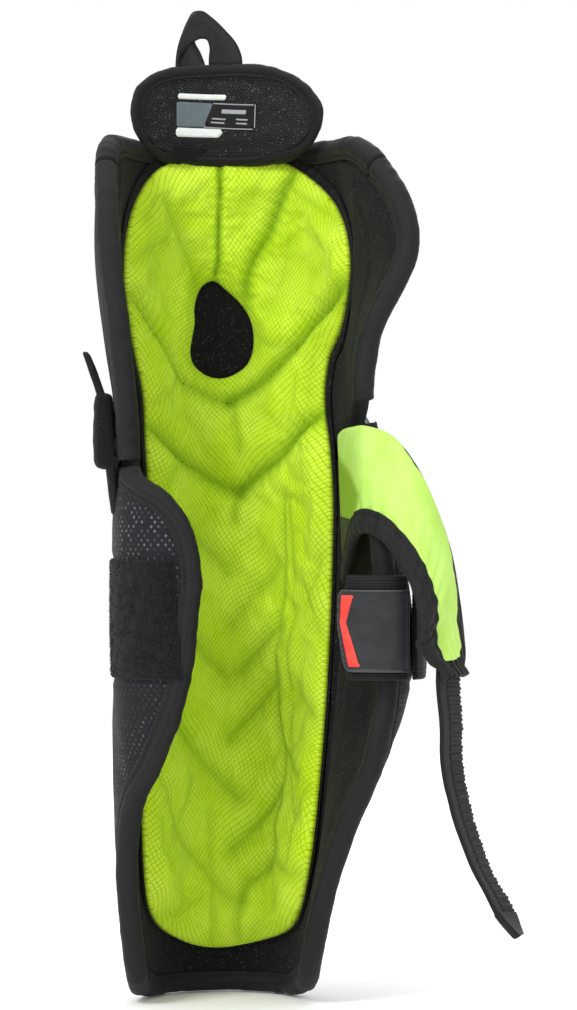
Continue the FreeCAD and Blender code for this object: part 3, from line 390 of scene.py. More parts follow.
def capsule_mesh(name, centres, tangents, normals, length, radius, mat, nseg=6, flat=0.75, tilt=0.0):
    """Many small thread stitches as one mesh."""
    rings = [(-0.5, 0.35), (-0.36, 0.9), (-0.12, 1.0), (0.12, 1.0), (0.36, 0.9), (0.5, 0.35)]
    c = np.asarray(centres); t = np.asarray(tangents); n = np.asarray(normals)
    t = t / np.linalg.norm(t, axis=1, keepdims=True)
    b = np.cross(n, t); b /= np.linalg.norm(b, axis=1, keepdims=True)
    n = np.cross(t, b)
    if tilt:
        t2 = t * math.cos(tilt) + b * math.sin(tilt); b = np.cross(n, t2); t = t2
    V = []
    for r, k in rings:
        sink = (1 - (1 - (2 * r) ** 2)) * radius * 1.3
        for a in range(nseg):
            th = 2 * math.pi * a / nseg
            V.append(c + t * (r * length) + b * (radius * k * math.cos(th)) + n * (radius * flat * k * math.sin(th) - sink))
    V = np.stack(V, 1)          # (count, verts, 3)
    cnt, m = V.shape[:2]
    F = []
    for r in range(len(rings) - 1):
        for a in range(nseg):
            F.append([r * nseg + a, r * nseg + (a + 1) % nseg, (r + 1) * nseg + (a + 1) % nseg, (r + 1) * nseg + a])
    F = np.array(F)
    allF = (F[None] + (np.arange(cnt) * m)[:, None, None]).reshape(-1, 4)
    caps = []
    for k in range(cnt):
        caps.append([k * m + a for a in range(nseg - 1, -1, -1)])
        caps.append([k * m + (len(rings) - 1) * nseg + a for a in range(nseg)])
    ob = mesh_obj(name, V.reshape(-1, 3), allF.tolist() + caps, mat)
    return ob

# ======================================================================
# materials
# ======================================================================
class Mat:
    """A small node builder. Sockets or numbers may be given to every input."""
    def __init__(s, name, rough=0.85, spec=0.3, sheen=0.0, sheen_rough=0.5, metal=0.0, sheen_tint=None, coat=0.0):
        if sheen_tint is None and metal == 0:
            spec, sheen = spec * 0.55, sheen * 0.2
        s.m = bpy.data.materials.new(name)
        s.m.use_nodes = True
        s.t = s.m.node_tree
        s.t.nodes.clear()
        s.out = s.t.nodes.new("ShaderNodeOutputMaterial")
        s.b = s.t.nodes.new("ShaderNodeBsdfPrincipled")
        s.t.links.new(s.b.outputs[0], s.out.inputs[0])
        s.b.inputs["Roughness"].default_value = rough
        s.b.inputs["Specular IOR Level"].default_value = spec
        s.b.inputs["Metallic"].default_value = metal
        if sheen:
            s.b.inputs["Sheen Weight"].default_value = sheen
            s.b.inputs["Sheen Roughness"].default_value = sheen_rough
            if sheen_tint:
                s.b.inputs["Sheen Tint"].default_value = (*sheen_tint, 1)
        if coat:
            s.b.inputs["Coat Weight"].default_value = coat
            s.b.inputs["Coat Roughness"].default_value = 0.25
    def put(s, sock, v):
        if isinstance(v, bpy.types.NodeSocket):
            s.t.links.new(v, sock)
        elif isinstance(v, (tuple, list)):
            sock.default_value = (*v, 1)[:4] if sock.type == "RGBA" else tuple(v)
        else:
            sock.default_value = v
    def math(s, op, a, b=None, c=None, clamp=False):
        n = s.t.nodes.new("ShaderNodeMath"); n.operation = op; n.use_clamp = clamp
        for k, v in enumerate((a, b, c)):
            if v is not None:
                s.put(n.inputs[k], v)
        return n.outputs[0]
    def add(s, a, b): return s.math("ADD", a, b)
    def sub(s, a, b): return s.math("SUBTRACT", a, b)
    def mul(s, a, b): return s.math("MULTIPLY", a, b)
    def attr(s, name="st"):
        n = s.t.nodes.new("ShaderNodeAttribute"); n.attribute_name = name
        return n
    def st(s, name="st"):
        n = s.t.nodes.new("ShaderNodeSeparateXYZ")
        s.t.links.new(s.attr(name).outputs["Vector"], n.inputs[0])
        return n.outputs[0], n.outputs[1], n.outputs[2]
    def fac(s, name):
        return s.attr(name).outputs["Fac"]
    def obj(s, scale=1000.0):
        tc = s.t.nodes.new("ShaderNodeTexCoord")
        m = s.t.nodes.new("ShaderNodeVectorMath"); m.operation = "SCALE"
        s.t.links.new(tc.outputs["Object"], m.inputs[0]); m.inputs["Scale"].default_value = scale
        return m.outputs[0]
    def vec(s, x, y, z=0.0):
        n = s.t.nodes.new("ShaderNodeCombineXYZ")
        for k, v in enumerate((x, y, z)):
            s.put(n.inputs[k], v)
        return n.outputs[0]
    def noise(s, v, scale, detail=3.0, rough=0.55, color=False):
        n = s.t.nodes.new("ShaderNodeTexNoise")
        s.t.links.new(v, n.inputs["Vector"])
        n.inputs["Scale"].default_value = scale; n.inputs["Detail"].default_value = detail; n.inputs["Roughness"].default_value = rough
        return n.outputs["Color" if color else "Fac"]
    def vor(s, v, scale, feature="F1", out="Distance", rand=1.0):
        n = s.t.nodes.new("ShaderNodeTexVoronoi"); n.feature = feature
        s.t.links.new(v, n.inputs["Vector"])
        n.inputs["Scale"].default_value = scale
        if "Randomness" in n.inputs:
            n.inputs["Randomness"].default_value = rand
        return n.outputs[out]
    def smooth(s, x, a, b, lo=0.0, hi=1.0):
        n = s.t.nodes.new("ShaderNodeMapRange"); n.interpolation_type = "SMOOTHSTEP"
        s.put(n.inputs[0], x)
        n.inputs[1].default_value = a; n.inputs[2].default_value = b; n.inputs[3].default_value = lo; n.inputs[4].default_value = hi
        return n.outputs[0]
    def mix(s, f, a, b, mode="MIX"):
        n = s.t.nodes.new("ShaderNodeMix"); n.data_type = "RGBA"; n.blend_type = mode
        s.put(n.inputs[0], f); s.put(n.inputs[6], a); s.put(n.inputs[7], b)
        return n.outputs[2]
    def wave(s, x, period, phase=0.0):
        """0..1 cosine wave of x."""
        return s.mul(s.add(s.math("SINE", s.add(s.mul(x, 6.28318 / period), phase)), 1.0), 0.5)
    def fract(s, x): return s.math("FRACT", x)
    def line(s, x, half, soft):
        """1 on thin lines at whole numbers of x."""
        f = s.math("ABSOLUTE", s.sub(s.fract(s.add(x, 0.5)), 0.5))
        return s.smooth(f, half, half + soft, 1.0, 0.0)
    def dots(s, u, v, pu, pv, ru, rv, soft=0.35):
        """Staggered rows of oval dots."""
        vv = s.math("DIVIDE", v, pv)
        row = s.math("FLOOR", vv)
        odd = s.math("MODULO", s.math("ABSOLUTE", row), 2.0)
        uu = s.add(s.math("DIVIDE", u, pu), s.mul(odd, 0.5))
        du = s.math("DIVIDE", s.sub(s.fract(uu), 0.5), ru / pu)
        dv = s.math("DIVIDE", s.sub(s.fract(vv), 0.5), rv / pv)
        r = s.math("SQRT", s.add(s.mul(du, du), s.mul(dv, dv)))
        return s.smooth(r, 1.0 - soft, 1.0 + soft, 1.0, 0.0), uu, row
    def bump(s, h, dist, strength=1.0, prev=None):
        n = s.t.nodes.new("ShaderNodeBump")
        s.put(n.inputs["Height"], h)
        n.inputs["Distance"].default_value = dist; n.inputs["Strength"].default_value = strength
        if prev is not None:
            s.t.links.new(prev, n.inputs["Normal"])
        s.t.links.new(n.outputs[0], s.b.inputs["Normal"])
        return n.outputs[0]
    def color(s, c): s.put(s.b.inputs["Base Color"], c)
    def rough(s, c): s.put(s.b.inputs["Roughness"], c)

def lin(r, g, b):
    """sRGB 0..255 to linear; the dark cloth tones are taken down a little."""
    if max(r, g, b) < 100 and max(r, g, b) - min(r, g, b) < 18:
        r, g, b = r * 0.68, g * 0.68, b * 0.68
    return tuple(((c / 255) / 12.92 if c / 255 <= 0.04045 else ((c / 255 + 0.055) / 1.055) ** 2.4) for c in (r, g, b))

def mat_liner():
    m = Mat("liner_lime_print", rough=0.66, spec=0.16, sheen=0.10, sheen_rough=0.45, sheen_tint=(0.95, 1.0, 0.6))
    g = m.attr("wuv")
    sp = m.t.nodes.new("ShaderNodeSeparateXYZ"); m.t.links.new(g.outputs["Vector"], sp.inputs[0])
    s_, z_, _ = m.st()
    v = m.vec(s_, z_)
    fine = m.noise(v, 0.55, 3)
    l1 = m.line(sp.outputs[0], 0.03, 0.085); l2 = m.line(sp.outputs[1], 0.03, 0.085)
    ln = m.math("MAXIMUM", l1, l2)
    brk = m.smooth(m.noise(v, 0.30, 2), 0.25, 0.62, 0.5, 1.0)
    lnf = m.mul(m.mul(ln, brk), 0.66)
    cloud = m.noise(v, 0.035, 3, 0.6)
    base = m.mix(m.smooth(cloud, 0.3, 0.7), lin(192, 228, 26), lin(208, 240, 62))
    # painted shade: the lime is darkened towards lin(128, 168, 0) along the sewn seams of the quilting, where shade
    # falls in the creases
    deep = m.fac("valley_shade")
    base = m.mix(m.mul(deep, 0.95), base, lin(128, 168, 0))
    # tiny knit cells between the printed lines
    kn, _, _ = m.dots(s_, z_, 0.62, 0.42, 0.26, 0.16, 0.6)
    base = m.mix(m.mul(kn, 0.10), base, lin(140, 180, 10))
    base = m.mix(m.mul(m.smooth(fine, 0.45, 0.75), 0.14), base, lin(222, 246, 110))
    col = m.mix(lnf, base, lin(104, 144, 0))
    col = m.mix(m.fac("stitch"), col, lin(60, 70, 20))
    m.color(col)
    h = m.sub(m.add(m.mul(fine, 0.5), m.mul(kn, -0.35)), m.mul(ln, 0.35))
    m.bump(h, 0.00022, 0.8)
    m.rough(m.smooth(fine, 0.2, 0.8, 0.55, 0.72))
    return m.m

def mat_black_mesh(name="mesh_black", tone=30, spark=0.5, warm=(1.0, 1.0, 1.0), pitch=1.15):
    """Warp-knit mesh: small staggered holes with light specks of the yarn between them."""
    m = Mat(name, rough=0.88, spec=0.22, sheen=0.22, sheen_rough=0.4)
    s_, z_, _ = m.st()
    v = m.vec(s_, z_)
    wx = m.add(s_, m.mul(m.sub(m.noise(v, 0.22, 2), 0.5), 0.7)); wz = m.add(z_, m.mul(m.sub(m.noise(v, 0.27, 2), 0.5), 0.7))
    d, uu, row = m.dots(wx, wz, pitch * 1.1, pitch * 0.72, pitch * 0.34, pitch * 0.26, 0.45)
    yarn = m.noise(v, 2.4, 2, 0.7)
    cl = m.noise(v, 0.10, 3)
    a = m.mix(m.smooth(yarn, 0.3, 0.75), lin(*[tone * 0.62 * w for w in warm]), lin(*[tone * 1.35 * w for w in warm]))
    a = m.mix(m.mul(m.smooth(cl, 0.35, 0.7), 0.5), a, lin(*[tone * 1.25 * w for w in warm]))
    a = m.mix(d, a, lin(7, 7, 8))
    sp = m.smooth(m.vor(v, 0.85, "F1"), 0.16, 0.30, 1.0, 0.0)
    sp = m.mul(sp, m.smooth(m.noise(v, 0.35, 2), 0.42, 0.62))
    a = m.mix(m.mul(sp, spark), a, lin(118, 120, 122))
    m.color(a)
    h = m.sub(m.add(m.mul(yarn, 0.6), m.mul(sp, 0.5)), m.mul(d, 1.1))
    m.bump(h, 0.00030, 0.9)
    return m.m

def mat_binding(name="binding_twill", tone=50):
    """Folded knit tape: fine slanting ribs, a little shine, darker towards the sewn side, where a line of shade is
    painted into its sewing groove.
    """
    m = Mat(name, rough=0.66, spec=0.34, sheen=0.16, sheen_rough=0.35)
    a, b, _ = m.st()          # a along the tape, b across it
    v = m.vec(a, b)
    w = m.add(m.mul(a, 1.0), m.mul(b, 0.55))
    rib = m.wave(w, 0.62)
    rib2 = m.wave(m.sub(a, m.mul(b, 0.8)), 0.55)
    cl = m.noise(v, 0.12, 3)
    fine = m.noise(v, 1.6, 2, 0.7)
    c = m.mix(m.smooth(cl, 0.3, 0.7), lin(tone - 6, tone - 6, tone - 5), lin(tone + 5, tone + 5, tone + 5))
    c = m.mix(m.mul(rib, 0.6), c, lin(tone - 30, tone - 30, tone - 29))
    c = m.mix(m.mul(m.smooth(fine, 0.55, 0.8), 0.35), c, lin(tone + 24, tone + 24, tone + 24))
    # painted shade: a dark line along the sewing groove, standing in for the shade in that crease
    groove_shade = m.mul(m.smooth(m.math("ABSOLUTE", m.sub(m.math("ABSOLUTE", b), 6.9)), 0.0, 0.55, 1.0, 0.0), 0.7)
    c = m.mix(groove_shade, c, lin(20, 20, 21))
    m.color(c)
    m.bump(m.add(m.mul(rib, 0.6), m.add(m.mul(rib2, 0.25), m.mul(fine, 0.35))), 0.00016, 0.75)
    m.rough(m.smooth(cl, 0.3, 0.7, 0.6, 0.75))
    return m.m

def mat_wing_knit():
    """Outer cover of the calf wing: slanted fine ribs with rows of long pale dots that fade in and out."""
    m = Mat("wing_knit", rough=0.7, spec=0.3, sheen=0.18, sheen_rough=0.4)
    s_, z_, _ = m.st()
    v = m.vec(s_, z_)
    u2 = m.add(m.mul(s_, 0.86), m.mul(z_, 0.5)); v2 = m.sub(m.mul(z_, 0.86), m.mul(s_, 0.5))
    rib = m.wave(u2, 0.8)
    d, uu, row = m.dots(s_, z_, 2.9, 2.0, 0.50, 0.62, 0.3)
    vary = m.smooth(m.noise(m.vec(m.math("FLOOR", uu), row), 0.61, 1), 0.36, 0.66)
    fade = m.smooth(m.noise(v, 0.030, 2), 0.38, 0.60)
    k = m.mul(m.mul(d, vary), m.add(m.mul(fade, 0.85), 0.15))
    yarn = m.noise(v, 2.0, 2, 0.7)
    c = m.mix(m.smooth(yarn, 0.3, 0.75), lin(27, 28, 31), lin(46, 47, 51))
    c = m.mix(m.mul(rib, 0.45), c, lin(20, 21, 23))
    c = m.mix(m.mul(k, 0.72), c, lin(106, 110, 117))
    m.color(c)
    m.bump(m.add(m.mul(rib, 0.5), m.add(m.mul(d, 0.8), m.mul(yarn, 0.4))), 0.00020, 0.8)
    return m.m

def mat_fuzz(name="loop_pile", tone=24):
    m = Mat(name, rough=0.96, spec=0.12, sheen=0.35, sheen_rough=0.6)
    s_, z_, _ = m.st()
    v = m.vec(s_, z_)
    a = m.noise(v, 0.9, 4, 0.75); b = m.noise(v, 0.18, 3)
    w = m.wave(m.add(z_, m.mul(a, 1.5)), 1.6)
    c = m.mix(m.smooth(a, 0.35, 0.72), lin(12, 12, 13), lin(tone * 2.0, tone * 2.0, tone * 2.05))
    c = m.mix(m.mul(m.smooth(b, 0.35, 0.7), 0.5), c, lin(tone, tone, tone + 2))
    m.color(c)
    m.bump(m.add(a, m.mul(w, 0.04)), 0.0006, 1.0)
    return m.m

def mat_knit_plain(name, tone=34, cover=False):
    """Close plain knit of the outer cover."""
    m = Mat(name, rough=0.82, spec=0.25, sheen=0.2, sheen_rough=0.4)
    s_, z_, _ = m.st()
    v = m.vec(s_, z_)
    d, uu, row = m.dots(s_, z_, 0.95, 0.66, 0.30, 0.20, 0.6)
    yarn = m.noise(v, 2.2, 2, 0.7); cl = m.noise(v, 0.07, 3)
    c = m.mix(m.smooth(yarn, 0.3, 0.75), lin(tone * .7, tone * .7, tone * .72), lin(tone * 1.35, tone * 1.35, tone * 1.4))
    c = m.mix(m.mul(m.smooth(cl, 0.35, 0.7), 0.35), c, lin(tone * 1.3, tone * 1.3, tone * 1.35))
    c = m.mix(m.mul(d, 0.7), c, lin(10, 10, 11))
    m.color(c)
    m.bump(m.sub(m.mul(yarn, 0.6), m.mul(d, 0.7)), 0.00022, 0.85)
    return m.m

def mat_neoprene():
    """Smooth lime jersey over neoprene; a black strip shows past its wavy edge (vertex factor black)."""
    m = Mat("neoprene_lime", rough=0.60, spec=0.15, sheen=0.08, sheen_rough=0.4, sheen_tint=(0.9, 1.0, 0.6))
    s_, z_, _ = m.st()
    v = m.vec(s_, z_)
    f = m.noise(v, 1.4, 3, 0.65); cl = m.noise(v, 0.05, 3)
    kn, _, _ = m.dots(s_, z_, 0.7, 0.5, 0.28, 0.18, 0.6)
    c = m.mix(m.smooth(cl, 0.3, 0.7), lin(166, 206, 88), lin(180, 218, 110))
    c = m.mix(m.mul(m.smooth(f, 0.45, 0.8), 0.12), c, lin(206, 236, 140))
    c = m.mix(m.mul(kn, 0.10), c, lin(150, 196, 40))
    # painted shade: by the vertex factor dark the lime is taken down towards lin(112, 150, 8) beside the fold at the
    # wrap's root, where the wrap turns away into shade
    c = m.mix(m.mul(m.fac("dark"), 0.9), c, lin(112, 150, 8))
    bl = m.mix(m.smooth(f, 0.35, 0.7), lin(16, 16, 17), lin(34, 34, 36))
    edge = m.smooth(m.add(m.fac("black"), m.mul(m.sub(f, 0.5), 0.05)), 0.46, 0.54)
    m.color(m.mix(edge, c, bl))
    m.bump(m.sub(m.mul(f, 0.5), m.mul(kn, 0.4)), 0.00014, 0.7)
    return m.m

def mat_rib_elastic():
    m = Mat("elastic_rib", rough=0.6, spec=0.35, sheen=0.15, sheen_rough=0.35)
    a, b, _ = m.st()      # a along, b across
    v = m.vec(a, b)
    cord = m.wave(b, 1.25); weave = m.wave(m.add(a, m.mul(m.wave(b, 2.5), 0.3)), 0.75)
    f = m.noise(v, 1.8, 2, 0.7); cl = m.noise(v, 0.1, 3)
    c = m.mix(m.smooth(cl, 0.3, 0.7), lin(36, 37, 40), lin(52, 53, 57))
    c = m.mix(m.mul(cord, 0.5), lin(20, 20, 22), c)
    c = m.mix(m.mul(m.smooth(f, 0.5, 0.8), 0.3), c, lin(92, 93, 98))
    m.color(c)
    m.bump(m.add(m.mul(cord, 0.7), m.add(m.mul(weave, 0.5), m.mul(f, 0.2))), 0.00026, 0.9)
    return m.m

def mat_satin():
    m = Mat("satin_ribbon", rough=0.34, spec=0.42, sheen=0.1, sheen_rough=0.3)
    a, b, _ = m.st()
    v = m.vec(a, b)
    w = m.wave(m.add(a, m.mul(b, 0.35)), 0.42); f = m.noise(m.vec(m.mul(a, 0.25), b), 1.2, 3)
    edge = m.smooth(m.math("ABSOLUTE", b), 6.2, 6.7)
    c = m.mix(m.smooth(f, 0.3, 0.7), lin(22, 22, 23), lin(36, 36, 38))
    c = m.mix(m.mul(edge, 0.6), c, lin(18, 18, 18))
    m.color(c)
    m.rough(m.smooth(f, 0.3, 0.7, 0.26, 0.36))
    m.b.inputs["Anisotropic"].default_value = 0.5
    m.bump(m.add(m.mul(w, 0.3), f), 0.00006, 0.6)
    return m.m

def mat_plastic(name, c0, c1, rough=0.42, grain=0.00007, scratch=0.5, coords="obj"):
    m = Mat(name, rough=rough, spec=0.45)
    v = m.obj()
    big = m.noise(v, 0.03, 3); gr = m.noise(v, 1.7, 3, 0.6); cell = m.vor(v, 1.1, "F1")
    sc = m.noise(m.t.nodes.new("ShaderNodeVectorMath").outputs[0] if False else v, 0.35, 6, 0.8)
    c = m.mix(m.smooth(big, 0.3, 0.7), c0, c1)
    mark = m.mul(m.smooth(sc, 0.66, 0.74), scratch)
    c = m.mix(m.mul(mark, 0.35), c, tuple(min(1.0, x * 2.4 + 0.01) for x in c1))
    m.color(c)
    m.rough(m.add(m.smooth(gr, 0.3, 0.7, rough - 0.06, rough + 0.08), m.mul(mark, 0.12)))
    m.bump(m.add(m.mul(cell, 0.8), m.mul(gr, 0.5)), grain, 0.8)
    return m.m

def mat_steel(name="bare_steel", c=(0.42, 0.42, 0.43)):
    m = Mat(name, rough=0.34, spec=0.5, metal=1.0)
    v = m.obj()
    f = m.noise(v, 0.9, 4, 0.7); b = m.noise(v, 4.0, 2)
    m.color(m.mix(m.smooth(f, 0.3, 0.75), tuple(x * 0.72 for x in c), c))
    m.rough(m.smooth(f, 0.3, 0.7, 0.28, 0.46))
    m.bump(m.add(m.mul(f, 0.6), m.mul(b, 0.3)), 0.00004, 0.6)
    return m.m

def mat_hook(name="hook_tape", tone=26):
    """Hook tape: rows of tiny stiff hooks."""
    m = Mat(name, rough=0.6, spec=0.4)
    v = m.obj()
    c_ = m.vor(v, 1.15, "F1"); f = m.noise(v, 1.2, 3)
    k = m.smooth(c_, 0.12, 0.42, 1.0, 0.0)
    c = m.mix(k, lin(12, 12, 13), lin(tone * 2.1, tone * 2.1, tone * 2.15))
    m.color(m.mix(m.mul(m.smooth(f, 0.4, 0.8), 0.3), c, lin(30, 30, 31)))
    m.bump(k, 0.0005, 1.0)
    return m.m

def mat_cloth_obj(name, tone=34, pitch=0.8, rough=0.85, spark=0.3):
    """Plain black cloth for carried-over pieces, by place on the object."""
    m = Mat(name, rough=rough, spec=0.25, sheen=0.2, sheen_rough=0.4)
    v = m.obj()
    a = m.vor(v, 1.0 / pitch, "F1", rand=0.35); f = m.noise(v, 1.6, 3, 0.7); cl = m.noise(v, 0.06, 3)
    c = m.mix(m.smooth(f, 0.3, 0.75), lin(tone * .7, tone * .7, tone * .72), lin(tone * 1.35, tone * 1.35, tone * 1.4))
    c = m.mix(m.mul(m.smooth(a, 0.3, 0.6), 0.6), c, lin(9, 9, 10))
    c = m.mix(m.mul(m.smooth(cl, 0.35, 0.7), 0.35), c, lin(tone * 1.3, tone * 1.3, tone * 1.35))
    m.color(c)
    m.bump(m.sub(m.mul(f, 0.5), m.mul(a, 0.9)), 0.00022, 0.85)
    return m.m

def mat_thread(name, c):
    m = Mat(name, rough=0.6, spec=0.35, sheen=0.1)
    v = m.obj()
    f = m.noise(v, 2.5, 2)
    m.color(m.mix(m.smooth(f, 0.3, 0.7), tuple(x * 0.65 for x in c), c))
    m.bump(f, 0.00008, 0.8)
    return m.m

def mat_print(name, c, wear=0.25):
    """Heat-transfer print on the knit, with the weave showing through where it has cracked."""
    m = Mat(name, rough=0.5, spec=0.35)
    s_, z_, _ = m.st()
    v = m.vec(s_, z_)
    f = m.noise(v, 1.9, 4, 0.75); g = m.noise(v, 0.3, 2)
    col = m.mix(m.smooth(g, 0.3, 0.7), tuple(x * 0.9 for x in c), c)
    crack = m.mul(m.smooth(f, 0.60, 0.70), wear)
    m.color(m.mix(crack, col, lin(20, 20, 21)))
    m.bump(f, 0.00008, 0.7)
    return m.m

def mat_rubber(name, c0, c1):
    m = Mat(name, rough=0.5, spec=0.4)
    s_, z_, _ = m.st()
    v = m.vec(s_, z_)
    f = m.noise(v, 1.1, 4, 0.7); g = m.noise(v, 0.12, 3); d = m.vor(v, 1.6, "F1")
    m.color(m.mix(m.smooth(g, 0.3, 0.7), c0, c1))
    m.rough(m.smooth(f, 0.3, 0.7, 0.42, 0.58))
    m.bump(m.add(m.mul(d, 0.6), m.mul(f, 0.5)), 0.00008, 0.8)
    return m.m

M_LINER = mat_liner()
M_MESH = mat_black_mesh("mesh_black", 36, 0.42)
M_FLAP = mat_black_mesh("mesh_flap", 62, 0.62, (1.0, 1.02, 1.0), 1.3)
M_MESH_IN = mat_black_mesh("mesh_inner", 30, 0.30, (1.0, 1.04, 0.96), 1.3)
M_BACK = mat_knit_plain("liner_back_knit", 30)
M_COVER = mat_knit_plain("cover_knit", 36)
M_BIND = mat_binding("binding_twill", 45)
M_WING = mat_wing_knit()
M_PILE = mat_fuzz()
M_NEO = mat_neoprene()
M_NEO_IN = mat_knit_plain("neoprene_black", 34)
M_RIB = mat_rib_elastic()
M_SATIN = mat_satin()
M_SHELL = mat_plastic("shell_moulded", lin(30, 31, 33), lin(44, 45, 48), 0.40)
M_CAP = mat_plastic("cap_moulded", lin(62, 64, 67), lin(78, 80, 84), 0.36)
M_STEEL = mat_steel()
M_BSTEEL = mat_steel("black_steel", (0.10, 0.10, 0.105))
M_HOOK = mat_hook()
M_CLOTH = mat_cloth_obj("cloth_black", 36)
M_CLOTH2 = mat_cloth_obj("strap_web", 44, 0.9, 0.7)
M_THREAD = mat_thread("thread_black", lin(34, 34, 35))
M_HOLE = mat_thread("thread_dark", lin(9, 9, 9))
M_THREAD_Y = mat_thread("thread_yellow", lin(196, 160, 40))
M_GREY = mat_print("print_slate", lin(92, 103, 108))
M_PBLACK = mat_print("print_black", lin(26, 26, 28), 0.15)
M_PLINE = mat_print("print_line", lin(150, 153, 156), 0.3)
M_WHITE = mat_print("print_white", lin(214, 218, 214), 0.35)
M_TAB = mat_rubber("tab_rubber", lin(50, 51, 54), lin(62, 63, 67))
M_TABRIM = mat_rubber("tab_rim", lin(84, 86, 86), lin(99, 99, 99))
M_RED = mat_rubber("chevron_red", lin(236, 52, 44), lin(250, 70, 60))

# ======================================================================
# outlines, arc length against height
# ======================================================================
EDGE_L = [(392,-91),(377,-118),(362,-135),(340,-147),(317,-147),(295,-138),(273,-126),(251,-116),(242,-117),(233,-131),(229,-139),(220,-147.5),(207,-152.5),(193,-154),(176,-151.5),(158,-148),(140,-142),(123,-133),(109,-123.5),(95,-112),(81.5,-105.5),(63,-100),(40,-91.5),(21,-81)]
EDGE_R = [(393,80),(382,107),(372,123),(363,134.5),(344,147),(326,147.5),(318,146),(309,143.5),(300,140),(291,136.5),(282,133.5),(273,129),(260,128),(238,133),(220,139),(202,144),(185,147.5),(167,149),(150,147),(132,141.5),(123,136),(114,130),(105,124),(96,117.5),(86,111),(77,106.5),(68,102.5),(59,98.5),(40,89),(31,84),(16,73)]
LIN_L = [(387.5,-38),(380,-52),(372,-62),(362,-72),(343,-84),(327,-88),(318,-85),(303,-78),(289,-71),(278,-67),(257,-66),(233,-61),(220,-60),(200,-61),(165,-64),(137,-66),(110,-68),(92,-69),(65,-68),(47,-63),(34,-48),(26,-30),(22,-18)]
LIN_R = [(387.5,30),(380,44),(374,54),(362,70),(352,80),(342,85),(336,86),(326,84),(314,76),(304,68),(295,60),(285,58),(268,60),(257,64),(228,72),(200,73),(184,73),(166,73),(139,73),(113,72),(96,71),(80,70),(64,68),(46,60),(35,50),(25,24)]
HOLE = [(-13.0, 332.0), (-4.0, 326.5), (3.0, 320.0), (8.0, 312.0), (9.5, 304.0), (9.0, 297.0), (6.0, 291.0), (0.0, 286.5), (-9.0, 284.0), (-18.0, 286.0), (-24.5, 291.0), (-26.0, 297.0), (-25.0, 303.0), (-23.5, 310.0), (-23.5, 317.0), (-22.0, 323.0), (-18.5, 329.0)]
W_SIDE = {"L": -1, "R": 1}

